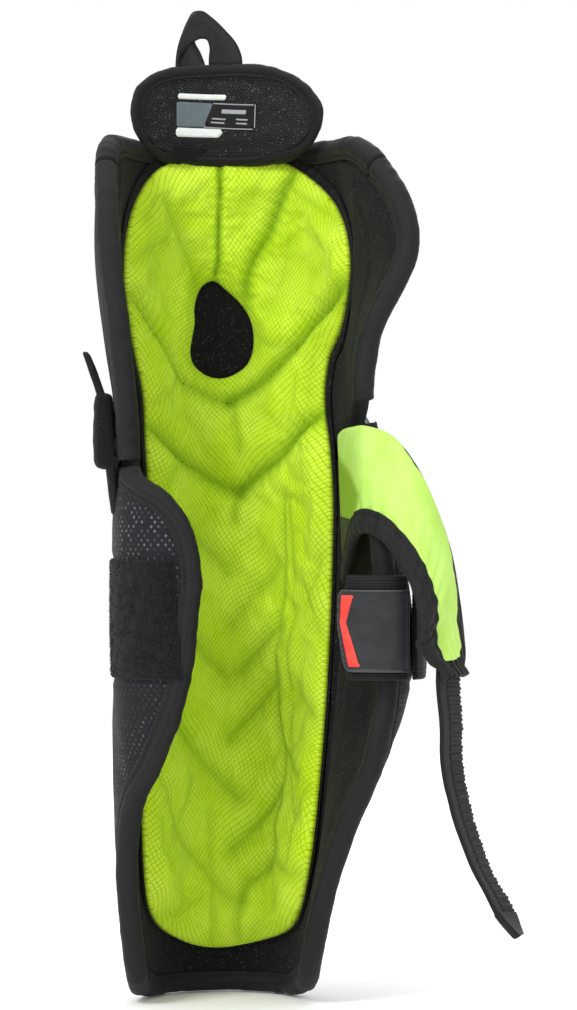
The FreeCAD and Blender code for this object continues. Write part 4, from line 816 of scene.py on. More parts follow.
# sewn valleys of the quilted liner: depth (mm), half width (mm), then (s, z) points
VALLEYS = [
    (5.0, 1.5, [(-8.0, 390.0), (-9.0, 374.0), (-10.0, 356.0), (-10.0, 342.0), (-12.0, 331.0)]),
    (4.8, 3.6, [(35.0, 386.0), (24.0, 366.0), (18.0, 354.0), (10.0, 342.0), (6.0, 330.0), (4.0, 320.0)]),
    (1.9, 5, [(33.0, 378.0), (46.0, 370.0), (62.0, 364.0), (80.0, 358.0)]),
    (1.0, 5, [(17.0, 384.0), (10.0, 370.0), (5.0, 358.0)]),
    (2.2, 5, [(-45.0, 370.0), (-36.0, 356.0), (-28.0, 342.0), (-22.0, 328.0)]),
    (1.7, 4, [(-52.0, 372.0), (-66.0, 360.0)]),
    (1.4, 5, [(-84.0, 338.0), (-65.0, 344.0), (-45.0, 352.0)]),
    (1.4, 6, [(33.0, 352.0), (27.0, 332.0), (20.0, 316.0)]),
    (3.4, 4.2, [(-86.0, 322.0), (-68.0, 310.0), (-50.0, 298.0), (-40.0, 288.0), (-35.0, 282.0), (-23.0, 278.0), (-13.0, 274.0), (-4.0, 272.0)]),
    (5.2, 4.0, [(-4.0, 272.0), (12.0, 280.0), (24.0, 288.0), (34.0, 296.0), (50.0, 308.0), (68.0, 318.0), (86.0, 328.0)]),
    (1.5, 4.5, [(-37.0, 282.0), (-49.0, 276.0), (-67.0, 272.0)]),
    (1.8, 4.5, [(10.0, 306.0), (14.0, 302.0), (25.0, 298.0), (34.0, 298.0)]),
    (2.2, 2.6, [(-2.0, 272.0), (-1.0, 262.0), (2.0, 250.0)]),
    (1.2, 5, [(-32.0, 266.0), (-23.0, 254.0), (-12.0, 244.0), (-4.0, 236.0)]),
    (1.5, 5, [(16.0, 270.0), (25.0, 262.0), (35.0, 258.0), (44.0, 256.0)]),
    (1.3, 5, [(54.0, 296.0), (51.0, 282.0), (53.0, 272.0), (49.0, 264.0), (43.0, 256.0)]),
    (4.2, 3.8, [(-66.0, 262.0), (-50.0, 253.0), (-39.0, 248.0), (-23.0, 242.0), (-9.0, 236.0), (3.0, 232.0)]),
    (5.2, 3.8, [(3.0, 232.0), (15.0, 240.0), (26.0, 246.0), (37.0, 254.0), (54.0, 264.0), (64.0, 270.0)]),
    (1.1, 4.5, [(-55.0, 234.0), (-41.0, 242.0), (-32.0, 248.0)]),
    (2.6, 2.8, [(3.0, 232.0), (1.0, 226.0), (0.0, 218.0)]),
    (2.2, 5, [(-30.0, 216.0), (-24.0, 210.0), (-13.0, 202.0), (-3.0, 194.0)]),
    (2.4, 5.5, [(30.0, 198.0), (25.0, 192.0), (11.0, 182.0), (-1.0, 170.0)]),
    (2.4, 3.0, [(34.0, 230.0), (36.0, 216.0), (36.0, 202.0), (34.0, 182.0), (31.0, 164.0), (31.0, 144.0), (34.0, 126.0), (39.0, 112.0), (38.0, 94.0), (32.0, 80.0), (31.0, 62.0), (27.0, 56.0)]),
    (1.7, 2.6, [(40.0, 228.0), (43.0, 206.0), (46.0, 182.0), (47.0, 170.0), (44.0, 154.0), (46.0, 136.0), (45.0, 122.0), (50.0, 104.0), (52.0, 76.0), (52.0, 62.0)]),
    (3.0, 4.5, [(30.0, 168.0), (16.0, 158.0), (4.0, 148.0)]),
    (2.4, 4.5, [(-34.0, 172.0), (-27.0, 164.0), (-15.0, 154.0), (-3.0, 146.0)]),
    (2.8, 5, [(30.0, 144.0), (17.0, 132.0), (-1.0, 118.0)]),
    (2.9, 4.8, [(-42.0, 130.0), (-34.0, 122.0), (-14.0, 104.0), (5.0, 90.0)]),
    (1.7, 5, [(55.0, 188.0), (64.0, 178.0), (70.0, 168.0)]),
    (1.6, 5, [(54.0, 138.0), (60.0, 134.0), (71.0, 128.0)]),
    (1.5, 5, [(60.0, 180.0), (66.0, 194.0), (72.0, 206.0)]),
    (1.8, 4.2, [(40.0, 114.0), (47.0, 108.0), (57.0, 100.0)]),
    (3.1, 4.6, [(35.0, 94.0), (28.0, 86.0), (18.0, 78.0), (1.0, 66.0)]),
    (2.9, 4.2, [(29.0, 60.0), (20.0, 54.0), (12.0, 50.0), (8.0, 42.0)]),
    (2.3, 3.0, [(8.0, 42.0), (7.0, 34.0), (8.0, 24.0)]),
    (1.4, 5, [(-28.0, 96.0), (-33.0, 86.0), (-41.0, 74.0)]),
    (2.1, 4.6, [(-40.0, 78.0), (-26.0, 66.0), (-12.0, 54.0), (-3.0, 46.0), (8.0, 42.0)]),
    (1.6, 3.0, [(-13.0, 84.0), (-12.0, 66.0), (-10.0, 48.0), (-10.0, 24.0)]),
    (1.4, 4.6, [(-48.0, 38.0), (-36.0, 37.0), (-19.0, 44.0)]),
    (1.6, 4.6, [(34.0, 62.0), (48.0, 56.0), (64.0, 56.0)]),
    (1.4, 4.6, [(33.0, 42.0), (22.0, 32.0), (13.0, 22.0)]),
    (1.2, 5, [(68.0, 96.0), (62.0, 92.0), (54.0, 84.0)]),
    (1.8, 5, [(-58.0, 196.0), (-48.0, 188.0), (-38.0, 176.0), (-34.0, 172.0)]),
    (1.6, 5, [(-62.0, 150.0), (-52.0, 140.0), (-42.0, 130.0)]),
    (1.5, 5, [(-64.0, 108.0), (-54.0, 96.0), (-40.0, 78.0)]),
]
SEWN = (8, 9, 16, 17)      # the two V seams carry visible stitches
rowL = [(s, z) for z, s in LIN_L]; rowR = [(s, z) for z, s in LIN_R]
LIN_POLY = resample(rowL + rowR[::-1], 1.6, closed=True)
HOLE_POLY = resample(HOLE, 1.6, closed=True)

def liner_relief(P):
    """Thickness of the liner (mm) at (s, z) points, and how deep each point lies in a valley (0..1)."""
    e = rim_dist(P, LIN_POLY); eh = rim_dist(P, HOLE_POLY)
    T = 2.2 + 6.6 * (1 - (1 - np.clip(e / 15.0, 0, 1)) ** 2.4)
    T = np.minimum(T, 3.2 + 5.6 * (1 - (1 - np.clip(eh / 13.0, 0, 1)) ** 2.0))
    T = T + 0.55 * wob2(P[:, 0], P[:, 1], 3, 34) * np.clip(e / 12, 0, 1)
    dep = np.zeros(len(P)); pk = np.zeros(len(P))
    for n, (a, l, pts) in enumerate(VALLEYS):
        d, t = seg_dist(P, [tuple(p) for p in resample(pts, 2.5)])
        g = a * (0.62 * np.exp(-(d / (l * 1.25)) ** 2) + 0.38 * np.exp(-(d / (l * 0.34)) ** 1.2))
        dep = np.maximum(dep, g) + 0.25 * np.minimum(dep, g)
        if a > 2.7:
            # puckers that run out of a tightly sewn seam
            ph = t / (4.6 + (n % 3)) * 6.283 + n + 0.8 * np.sin(t / 9.0 + n)
            pk += 0.30 * np.sin(ph) * np.exp(-((d - 3.0) / 4.2) ** 2) * np.clip(e / 8, 0, 1)
    # the sections between the seams are full and round
    T2 = T - dep * np.clip(T / 8.0, 0.25, 1) + pk
    T2 = np.where(T2 < 2.4, 2.4 - (2.4 - T2) * 0.25, T2)
    T2 = np.maximum(T2, 1.3)
    return T2, np.clip(dep / 4.5, 0, 1), e, eh

def puff_field():
    """The sewn layer is let out by a cloth simulation: pinned along the seams and the rim, pushed up by the foam."""
    step = 2.6
    P, Q, rim = clip_grid(LIN_POLY, step, [HOLE_POLY])
    T, val, e, eh = liner_relief(P)
    top = surf(P[:, 0], P[:, 1], -(5.6 + T))
    ob = mesh_obj("liner_sim", top, Q[:, ::-1], M_BACK)
    vg = ob.vertex_groups.new(name="pin")
    w = np.clip(np.maximum(sstep(0.34, 0.62, val), np.maximum(1 - e / 3.0, 1 - eh / 3.0)), 0, 1)
    for i, x in enumerate(w):
        if x > 0.02:
            vg.add([i], float(x), "REPLACE")
    c = ob.modifiers.new("cloth", "CLOTH")
    st = c.settings
    st.quality = 5; st.mass = 0.2
    st.tension_stiffness = 12; st.compression_stiffness = 6; st.shear_stiffness = 3; st.bending_stiffness = 0.08
    st.vertex_group_mass = "pin"; st.pin_stiffness = 3.0
    st.use_pressure = True; st.uniform_pressure_force = 1.1
    st.shrink_min = -0.035
    st.effector_weights.gravity = 0.0
    c.collision_settings.use_collision = False
    for f in range(1, 17):
        SC.frame_set(f)
    dg = bpy.context.evaluated_depsgraph_get()
    ev = ob.evaluated_get(dg).to_mesh()
    co = np.zeros(len(ev.vertices) * 3); ev.vertices.foreach_get("co", co)
    new = co.reshape(-1, 3) * 1000.0
    SC.frame_set(1)
    bpy.data.objects.remove(ob)
    n = _look(NRM, P[:, 0], P[:, 1]); n /= np.linalg.norm(n, axis=1, keepdims=True)
    k = -np.einsum("ij,ij->i", new - top, n)       # how far the fabric rose
    k = np.nan_to_num(np.clip(k, -2.5, 4.0))
    # put on a regular grid for look-up
    gx = np.arange(-96, 96, step); gy = np.arange(16, 396, step)
    acc = np.zeros((len(gx), len(gy))); cnt = np.zeros_like(acc)
    i = np.clip(np.round((P[:, 0] - gx[0]) / step).astype(int), 0, len(gx) - 1); j = np.clip(np.round((P[:, 1] - gy[0]) / step).astype(int), 0, len(gy) - 1)
    np.add.at(acc, (i, j), k); np.add.at(cnt, (i, j), 1)
    G = np.where(cnt > 0, acc / np.maximum(cnt, 1), 0)
    print("cloth pass: rise", float(k.min()), float(k.mean()), float(k.max()))
    return gx, gy, G
def look_puff(field, P):
    gx, gy, G = field
    st = gx[1] - gx[0]
    a = np.clip((P[:, 0] - gx[0]) / st, 0, len(gx) - 1.001); b = np.clip((P[:, 1] - gy[0]) / st, 0, len(gy) - 1.001)
    i, j = a.astype(int), b.astype(int); a -= i; b -= j
    return (G[i, j] * (1 - b) + G[i, j + 1] * b) * (1 - a) + (G[i + 1, j] * (1 - b) + G[i + 1, j + 1] * b) * a

PUFF = puff_field()

def warp_uv(P, T):
    """Coordinates of the printed net: its cells are bent by a smooth random warp."""
    s, z = P[:, 0], P[:, 1]
    u = s + 3.6 * wob2(s, z, 11, 62) + 1.3 * wob2(s, z, 12, 34)
    v = z + 3.6 * wob2(s, z, 21, 66) + 1.3 * wob2(s, z, 22, 36)
    return np.stack([(u * 0.78 + v * 0.62) / 2.0, (v * 0.78 - u * 0.62) / 2.0, 0 * u], 1)

def build_liner():
    P, Q, rim = clip_grid(LIN_POLY, 1.15, [HOLE_POLY])
    T, val, e, eh = liner_relief(P)
    if PUFF is not None:
        T = T + look_puff(PUFF, P) * np.clip(np.minimum(e, eh) / 5.0, 0, 1) * 0.9
    # fine slack of the cloth
    T = T + 0.10 * wob2(P[:, 0], P[:, 1], 5, 7.0) * np.clip(e / 6, 0, 1)
    # the right half is lapped over the left along the upper slit
    sl = np.interp(P[:, 1], [326, 342, 356, 374, 392], [-11.5, -10, -10, -9, -8])
    lap = sstep(-0.8, 0.8, P[:, 0] - sl) * np.exp(-np.clip(P[:, 0] - sl, 0, 99) / 5.0) * (P[:, 1] > 326) * np.clip((P[:, 1] - 326) / 10, 0, 1)
    T = T + 1.6 * lap
    T = np.maximum(T, 1.2)
    top = surf(P[:, 0], P[:, 1], -(5.6 + T)); bot = surf(P[:, 0], P[:, 1], -5.6)
    # the seam depth also goes to the liner material, where it paints shade into the sewn seams
    ob = clip_slab("quilted_liner", P, Q, rim, top, bot, [M_LINER, M_BACK], fm=(0, 1, 0), extra={"valley_shade": val, "stitch": val * 0})
    a = ob.data.attributes.new("wuv", "FLOAT_VECTOR", "POINT")
    uv = warp_uv(P, T)
    a.data.foreach_set("vector", np.vstack([uv, uv]).astype(np.float32).ravel())
    return ob, P, T
liner, LP, LT = build_liner()
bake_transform(liner)
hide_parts("shin_liner", "knee_liner")

# stitches along the two V seams of the liner
def liner_thick_at(q):
    T, _, _, _ = liner_relief(q)
    if PUFF is not None:
        T = T + look_puff(PUFF, q) * 0.9
    return np.maximum(T, 1.2)
cs, ts, ns = [], [], []
for k in SEWN:
    q = resample(VALLEYS[k][2], 2.9)
    q = q[rim_dist(q, LIN_POLY) > 5]
    m = (q[1:] + q[:-1]) / 2
    T = liner_thick_at(m)
    c = surf(m[:, 0], m[:, 1], -(5.6 + T + 0.12))
    p1 = surf(q[1:, 0], q[1:, 1], -8); p0 = surf(q[:-1, 0], q[:-1, 1], -8)
    n = -_look(NRM, m[:, 0], m[:, 1])
    cs.append(c); ts.append(p1 - p0); ns.append(n)
lst = capsule_mesh("liner_stitches", np.vstack(cs), np.vstack(ts), np.vstack(ns), 1.5, 0.26, M_HOLE)
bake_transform(lst)

# backing of the liner: black knit that shows as a rim round the upper pad and through the knee opening
rimw = lambda z: np.interp(z, [20, 200, 260, 300, 360, 395], [0.8, 1.0, 3.0, 5.0, 4.6, 4.0])
cen = np.array([0.0, 0.0])
lp = LIN_POLY.copy()
tn = np.roll(lp, -1, 0) - np.roll(lp, 1, 0); tn /= np.linalg.norm(tn, axis=1, keepdims=True)
nn = np.stack([tn[:, 1], -tn[:, 0]], 1)
area2 = np.sum(lp[:, 0] * np.roll(lp[:, 1], -1) - np.roll(lp[:, 0], -1) * lp[:, 1])
if area2 < 0: nn = -nn
BACK_POLY = lp + nn * rimw(lp[:, 1])[:, None]
P, Q, rim = clip_grid(BACK_POLY, 2.2)
e = rim_dist(P, BACK_POLY)
lift = 0.55 * (1 - (1 - np.clip(e / 1.6, 0, 1)) ** 2)
inner = inside(P, HOLE_POLY)
top = surf(P[:, 0], P[:, 1], -(4.95 + lift)); bot = surf(P[:, 0], P[:, 1], -4.55)
lb = clip_slab("liner_backing", P, Q, rim, top, bot, [M_MESH], fm=(0, 0, 0))
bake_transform(lb)

# ======================================================================
# padded chassis: shin panel, knee panel and the two calf wings
# ======================================================================
BW, BT = 9.0, 4.4
def s_at_y(z, y, side):
    zs = np.atleast_1d(np.asarray(z, float))
    out = []
    q = np.linspace(20, 112, 185) * side
    for zz in zs:
        yy = surf(q, zz)[:, 1]
        k = np.argmax(yy <= y)
        a, b = yy[k - 1], yy[k]
        out.append(q[k - 1] + (q[k] - q[k - 1]) * (a - y) / max(a - b, 1e-6))
    return np.array(out)
_fz = np.arange(0.0, 262.0, 4.0)
FL = s_at_y(_fz, 2.0, -1); FR = s_at_y(_fz, 4.0, 1)
fold_l = lambda z: np.interp(z, _fz, FL)
fold_r = lambda z: np.interp(z, _fz, FR)
def foot(s, lift=0.4):
    a = np.abs(s); r = np.clip(np.where(s < 0, a - 40, a - 34), 0, None)
    return lift + 0.0128 * r * r

def outline_normals(p):
    """Unit normals of an open (s, z) path; they point to its right-hand side when s runs right and z up."""
    t = np.gradient(p, axis=0); t /= np.linalg.norm(t, axis=1, keepdims=True)
    return np.stack([t[:, 1], -t[:, 0]], 1), t

def pad_panel(name, poly, mats, d_leg, d_out, step=3.0, holes=(), quilt=None, seed=1, fm=(0, 1, 1)):
    """Padded panel of the chassis over an (s, z) outline: foam with a lining towards the leg and a cover outside."""
    P, Q, rim = clip_grid(poly, step, holes)
    e = rim_dist(P, poly, holes)
    k = 1 - 0.22 * np.exp(-e / 3.5)
    b = 0.35 * wob2(P[:, 0], P[:, 1], seed, 46) + 0.16 * wob2(P[:, 0], P[:, 1], seed + 50, 17)
    q = 0 if quilt is None else quilt(P, e)
    top = surf(P[:, 0], P[:, 1], -(d_leg * k + b * np.clip(e / 10, 0, 1) + q)); bot = surf(P[:, 0], P[:, 1], d_out * k)
    return clip_slab(name, P, Q, rim, top, bot, mats, fm=fm)

def welt(P, lines, depth=0.9, w=1.3):
    """Sewn lines pressed into a panel."""
    out = 0
    for l in lines:
        d, _ = seg_dist(P, [tuple(x) for x in resample(l, 3)])
        out = out - depth * np.exp(-(d / w) ** 2) + 0.25 * depth * np.exp(-((d - 3.2) / 2.0) ** 2)
    return out

zz = np.arange(6.0, 246.0, 3.0)
def side_poly(fa, fb, zs):
    """Closed outline between two s(z) curves."""
    a = np.stack([fa(zs), zs], 1); b = np.stack([fb(zs), zs], 1)
    return np.vstack([a, b[::-1]])
# shin panel
z_in = np.linspace(10.6, 247.4, 70)
bot_s = np.linspace(-62, 60, 30)
bl = np.stack([bot_s, foot(bot_s) + BW * 0.75], 1)
bl = bl[(bl[:, 0] > fold_l(12) + 0.8) & (bl[:, 0] < fold_r(12) - 0.8)]
lft = np.stack([fold_l(z_in) + 0.35, z_in], 1); rgt = np.stack([fold_r(z_in) - 0.35, z_in], 1)
shin_poly = np.vstack([lft[lft[:, 1] > bl[0, 1] + 1][::-1], bl, rgt[rgt[:, 1] > bl[-1, 1] + 1]])
shin_panel = pad_panel("shin_panel", shin_poly, [M_MESH, M_COVER], 4.0, 4.0, 3.0, seed=4)
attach(shin_panel, "shin"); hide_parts("shin_foam")

# knee panel with its two side wings, one piece that bends a little over the knee
L_up = [(s, z) for z, s in EDGE_L if z >= 251]
R_up = [(s, z) for z, s in EDGE_R if z >= 281]
def shrink(path, side, d):
    p = resample(path, 3.0)
    n, _ = outline_normals(p)
    inward = np.where((n[:, :1] * side) < 0, 1.0, -1.0)
    flip = 1.0 if np.median(n[:, 0] * side) < 0 else -1.0
    return p + n * flip * d
Lk = shrink([(-91, 386)] + L_up[1:], -1, 1.4); Rk = shrink([(80, 387)] + R_up[1:], 1, 1.4)
base = [(-108, 258.0), (-98, 256.0), (-88, 253.5), (-78, 250.8), (-60, 247.6), (-30, 247.6), (0, 247.6), (30, 247.6), (52, 247.8), (62, 250.5), (74, 256.0), (86, 262.0), (98, 268.5), (112, 275.0), (124, 280.0)]
knee_poly = np.vstack([Lk[::-1][Lk[::-1][:, 1] > 258], [(-88, 388.5), (-60, 389.5), (-30, 389.5), (0, 389.5), (30, 389.5), (58, 389.5), (76, 388.5)], Rk[Rk[:, 1] > 281], base[::-1]])
knee_welts = [[(-92, 378), (-104, 360), (-112, 335), (-108, 305), (-98, 280)], [(92, 376), (106, 356), (114, 335), (110, 310), (104, 290)]]
knee_panel = pad_panel("knee_panel", knee_poly, [M_MESH_IN, M_COVER], 4.0, 4.0, 3.0, seed=9, quilt=lambda P, e: welt(P, knee_welts, 1.0, 1.6) + 1.1 * sstep(4, 14, e) * (np.abs(P[:, 0]) > 88))
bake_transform(knee_panel)
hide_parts("knee_foam", "knee_wing_left", "knee_wing_right")

# calf wings
L_lo = [(s, z) for z, s in EDGE_L if z <= 242]
R_lo = [(s, z) for z, s in EDGE_R if z <= 261]
def wing_poly(side):
    if side < 0:
        edge = shrink(L_lo, -1, 1.4); top = [(-117, 243.2), (-100, 243.4), (-80, 243.6)]
        zi = np.linspace(243.6, 12, 66)
        inner = np.stack([fold_l(zi) + 0.30, zi], 1)
        fb = np.linspace(-62, -78, 8); foot_p = np.stack([fb, foot(fb) + BW * 0.75], 1)
        inner = inner[inner[:, 1] > foot(inner[:, 0]) + BW * 0.75]
        return np.vstack([top, inner, foot_p, edge[::-1][edge[::-1][:, 1] < 243]])
    edge = shrink(R_lo, 1, 1.4)
    ts = np.array([126.0, 115, 104, 92, 80, 70, 62])
    yy = surf(ts, 255)[:, 1]
    tz = np.where(yy > 2, 245.0, 245.0 + (2 - yy) * 0.48) - 1.6
    top = np.stack([ts, tz], 1)
    zi = np.linspace(243.6, 12, 66)
    inner = np.stack([fold_r(zi) - 0.30, zi], 1)
    inner = inner[inner[:, 1] > foot(inner[:, 0]) + BW * 0.75]
    fb = np.linspace(60, 72, 8); foot_p = np.stack([fb, foot(fb) + BW * 0.75], 1)
    return np.vstack([top, inner, foot_p, edge[::-1][(edge[::-1][:, 1] < tz[0] - 1)]])
LWP, RWP = wing_poly(-1), wing_poly(1)
lw_welts = [[(-150, 203.5), (-140, 203.0), (-120, 203.2), (-100, 203.5), (-80, 204)], [(-150, 148.5), (-140, 148.0), (-120, 148.6), (-100, 148.8), (-80, 149)]]
def wing_panel(name, poly, mat_leg, mat_out, seed, welts):
    P, Q, rim = clip_grid(poly, 2.6)
    e = rim_dist(P, poly)
    k = 1 - 0.22 * np.exp(-e / 3.5)
    b = 0.4 * wob2(P[:, 0], P[:, 1], seed, 50)
    side = sstep(6, 16, e)
    leg = 4.0 * k + b * np.clip(e / 10, 0, 1) + 0.9 * side
    out = 4.05 * k + 0.45 * side + 0.25 * wob2(P[:, 0], P[:, 1], seed + 9, 24) * np.clip(e / 8, 0, 1) + welt(P, welts, 0.6, 0.9)
    # the middle of the wing lies over its plate; near the fold it thins out so that it can bend
    f = np.abs(P[:, 0] - np.where(P[:, 0] < 0, fold_l(P[:, 1]), fold_r(P[:, 1])))
    thin = 1 - 0.30 * np.exp(-(f / 4.0) ** 2)
    return clip_slab(name, P, Q, rim, surf(P[:, 0], P[:, 1], -leg * thin), surf(P[:, 0], P[:, 1], out * thin), [mat_leg, mat_out], fm=(0, 1, 1))
lw = wing_panel("calf_wing_left_panel", LWP, M_MESH, M_WING, 14, lw_welts)
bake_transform(lw)
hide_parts("calf_wing_left_foam", "calf_wing_left_plate", "calf_wing_left_cover")
rw = wing_panel("calf_wing_right_panel", RWP, M_MESH_IN, M_WING, 24, [[(60, 203), (90, 203), (140, 202)], [(60, 148), (90, 148), (145, 148)]])
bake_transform(rw)
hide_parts("calf_wing_right_foam", "calf_wing_right_plate", "calf_wing_right_cover")

# ======================================================================
# folded edge bindings with their stitches
# ======================================================================
def bind_profile():
    """(w, d, run): w towards the free edge, d outwards, and the distance round the tape for its weave."""
    pts = [(-4.55, -3.55), (-4.62, -4.15), (-4.40, -4.62), (-3.9, -4.80), (-3.3, -4.62), (-2.7, -4.22), (-2.2, -4.30), (-1.6, -4.72), (-0.6, -4.98), (0.5, -4.95)]
    arc = [(0.6 + 3.95 * math.cos(a), 4.85 * math.sin(a)) for a in np.radians(np.linspace(-72, 72, 11))]
    up = [(w, -d) for w, d in pts[::-1]]
    full = pts + arc + up
    q = np.array(full)
    run = np.concatenate([[0], np.cumsum(np.hypot(*np.diff(q, axis=0).T))])
    return q, run - run[-1] / 2
BPROF, BRUN = bind_profile()
def binding(name, path, side, body=None, blend=None, seed=1, step=1.5, scale=1.0, place=None, mat=None, stitches=True, nodes=(), w_scale=1.0):
    """Binding tape over an (s, z) path; side is +1 or -1 for which side of the path is the free edge."""
    p = resample(path, step)
    n, t = outline_normals(p)
    n = n * side
    a = np.concatenate([[0], np.cumsum(np.hypot(*np.diff(p, axis=0).T))])
    C = len(p)
    nose = 0.22 * wob(a, seed, 9.0) + 0.12 * wob(a, seed + 1, 3.4)
    fat = 1 + 0.025 * wob(a, seed + 2, 14.0) + 0.012 * wob(a, seed + 3, 3.0)
    dip = 0.10 * np.cos(a / 3.3 * 6.283)
    pl = place or (lambda s, z, d: surf(s, z, d))
    V = np.zeros((C, len(BPROF), 3))
    for j, (w, d) in enumerate(BPROF):
        ww = w * w_scale + (nose if w > 0.5 else 0) + (0.10 * wob(a, seed + 4, 6.0) if w < -4 else 0)
        dd = d * fat * scale
        if -3.6 < w < -1.9:
            dd = dd - np.sign(d) * dip
        V[:, j] = pl(p[:, 0] + n[:, 0] * ww, p[:, 1] + n[:, 1] * ww, dd)
    m = len(BPROF)
    faces = grid_faces(C, m, wrap=True).tolist() + [list(range(m)), [(C - 1) * m + j for j in range(m - 1, -1, -1)]]
    st = np.stack([np.repeat(a, m), np.tile(BRUN, C)], 1)
    ob = weld_flip(mesh_obj(name, V.reshape(-1, 3), faces, mat or M_BIND, st=st))
    obs = [ob]
    if stitches:
        q = resample(path, 3.3)
        nq, tq = outline_normals(q); nq = nq * side
        cs, ts, ns = [], [], []
        for sg in (-1, 1):
            w = -2.62 * w_scale
            c = pl(q[:, 0] + nq[:, 0] * w, q[:, 1] + nq[:, 1] * w, sg * 4.36 * scale)
            c1 = pl(q[:, 0] + nq[:, 0] * w + tq[:, 0], q[:, 1] + nq[:, 1] * w + tq[:, 1], sg * 4.36 * scale)
            c2 = pl(q[:, 0] + nq[:, 0] * w, q[:, 1] + nq[:, 1] * w, sg * 5.36 * scale)
            cs.append(c); ts.append(c1 - c); ns.append(c2 - c)
        so = capsule_mesh(name + "_stitches", np.vstack(cs), np.vstack(ts), np.vstack(ns), 2.3, 0.27, M_THREAD)
        obs.append(so)
    for o in obs:
        if blend:
            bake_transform(o)
        else:
            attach(o, body)
    if nodes:
        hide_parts(*nodes)
    return ob

pk = resample([(s, z) for z, s in EDGE_L], 3.0)
pl_up = pk[(pk[:, 1] >= 246.5) & (pk[:, 1] <= 379)]
pl_lo = pk[(pk[:, 1] <= 243.2)]
pr_ = resample([(s, z) for z, s in EDGE_R], 3.0)
pr_up = pr_[(pr_[:, 1] >= 273.5) & (pr_[:, 1] <= 379)]
pr_lo = pr_[(pr_[:, 1] <= 263.8)]
# which side of each path is free: along EDGE_L the path falls, so the free edge (s smaller) is on its own side
def free_side(path, want):
    n, _ = outline_normals(resample(path, 4.0))
    return 1 if np.median(n[:, 0]) * want > 0 else -1
KB = ("shin", "knee", (0, 0, 0.2475), (0, 0, 0.268))
binding("knee_edge_left", pl_up, free_side(pl_up, -1), blend=KB, seed=31, nodes=("knee_binding_left",))
binding("knee_edge_right", pr_up, free_side(pr_up, 1), body="knee", seed=32, nodes=("knee_binding_right",))
TOP = [(-114.5, 379.5), (-105, 385), (-92, 389.5), (-80, 391), (-60, 391), (-30, 391), (0, 391), (30, 391), (58, 391), (76, 390.5), (92, 388.5), (102.5, 384.5), (111, 380)]
nt, _ = outline_normals(resample(TOP, 4.0))
binding("knee_edge_top", TOP, 1 if np.median(nt[:, 1]) > 0 else -1, body="knee", seed=33, nodes=("knee_binding_top",))
LB = ("shin", "left_wing", (0, 0.0030, 0), (0, -0.0220, 0)); RB = ("shin", "right_wing", (0, 0.0050, 0), (0, -0.0200, 0))
left_path = np.vstack([pl_lo[pl_lo[:, 1] > 24], [(-76.6, 16.2), (-70, 11.6), (-64.6, 8.8), (-61.6, 7.6)]])
binding("calf_edge_left", left_path, free_side(left_path, -1), blend=LB, seed=34, nodes=("calf_wing_left_binding",))
right_path = np.vstack([pr_lo[pr_lo[:, 1] > 22], [(72.5, 17.0), (67.0, 13.0), (62.0, 10.5), (59.0, 9.4)]])
binding("calf_edge_right", right_path, free_side(right_path, 1), blend=RB, seed=35, nodes=("calf_wing_right_binding",))
fs = np.linspace(-61.6, 59.0, 60)
ank = np.stack([fs, foot(fs) + BW / 2], 1)
ank = ank[(ank[:, 0] > fold_l(5)) & (ank[:, 0] < fold_r(5))]
na, _ = outline_normals(resample(ank, 4.0))
binding("ankle_edge", ank, 1 if np.median(na[:, 1]) < 0 else -1, body="shin", seed=36, nodes=("ankle_binding",), place=lambda s, z, d: np.maximum(surf(s, z, d), [-1e9, -1e9, 0.62]))

# brushed pile patch on the outside of the left wing, with its short pile and sewn border
pp = np.array([(-147.5, 149.5), (-100.5, 149.8), (-100.0, 202.2), (-147.0, 202.6)])
P, Q, rim = clip_grid(resample([tuple(a) for a in np.vstack([pp[0] + (pp[1] - pp[0]) * k / 8 for k in range(8)] + [pp[1] + (pp[2] - pp[1]) * k / 8 for k in range(8)] + [pp[2] + (pp[3] - pp[2]) * k / 8 for k in range(8)] + [pp[3] + (pp[0] - pp[3]) * k / 8 for k in range(8)])], 1.2, closed=True), 1.2)
e = rim_dist(P, pp)
h = 0.55 * (1 - np.exp(-e / 1.0)) + 0.22 * wob2(P[:, 0], P[:, 1], 71, 3.1) + 0.25 * wob2(P[:, 0], P[:, 1], 72, 9.0)
patch = clip_slab("pile_patch", P, Q, rim, surf(P[:, 0], P[:, 1], 4.2), surf(P[:, 0], P[:, 1], 5.2 + h * np.clip(e / 1.5, 0, 1)), [M_COVER, M_PILE], fm=(0, 1, 1))
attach(patch, "left_wing"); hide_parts("landing_patch")
# loose pile: many fine curled loops
r = np.random.default_rng(5)
n = 5200
s_ = r.uniform(-147, -100.6, n); z_ = r.uniform(150.2, 202.0, n)
root = surf(s_, z_, 5.1); nn_ = _look(NRM, s_, z_); nn_ /= np.linalg.norm(nn_, axis=1, keepdims=True)
ang = r.uniform(0, 6.283, n)
tz = np.array([0, 0, 1.0]); tx = np.cross(nn_, tz); tx /= np.linalg.norm(tx, axis=1, keepdims=True)
dirv = tx * np.cos(ang)[:, None] + tz * np.sin(ang)[:, None]
hh = r.uniform(0.5, 1.25, n)[:, None]; ll = r.uniform(0.25, 0.6, n)[:, None]
wd = np.cross(nn_, dirv) * 0.07
cols = []
for f, up in ((0.0, 0.0), (0.35, 0.85), (0.8, 1.0), (1.15, 0.55)):
    c = root + dirv * ll * f + nn_ * hh * up
    cols += [c - wd, c + wd]
V = np.stack(cols, 1)
F = np.array([[0, 1, 3, 2], [2, 3, 5, 4], [4, 5, 7, 6]])
F = (F[None] + (np.arange(n) * 8)[:, None, None]).reshape(-1, 4)
pile = mesh_obj("pile_loops", V.reshape(-1, 3), F, M_PILE, st=np.repeat(np.stack([s_, z_], 1), 8, 0))
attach(pile, "left_wing")

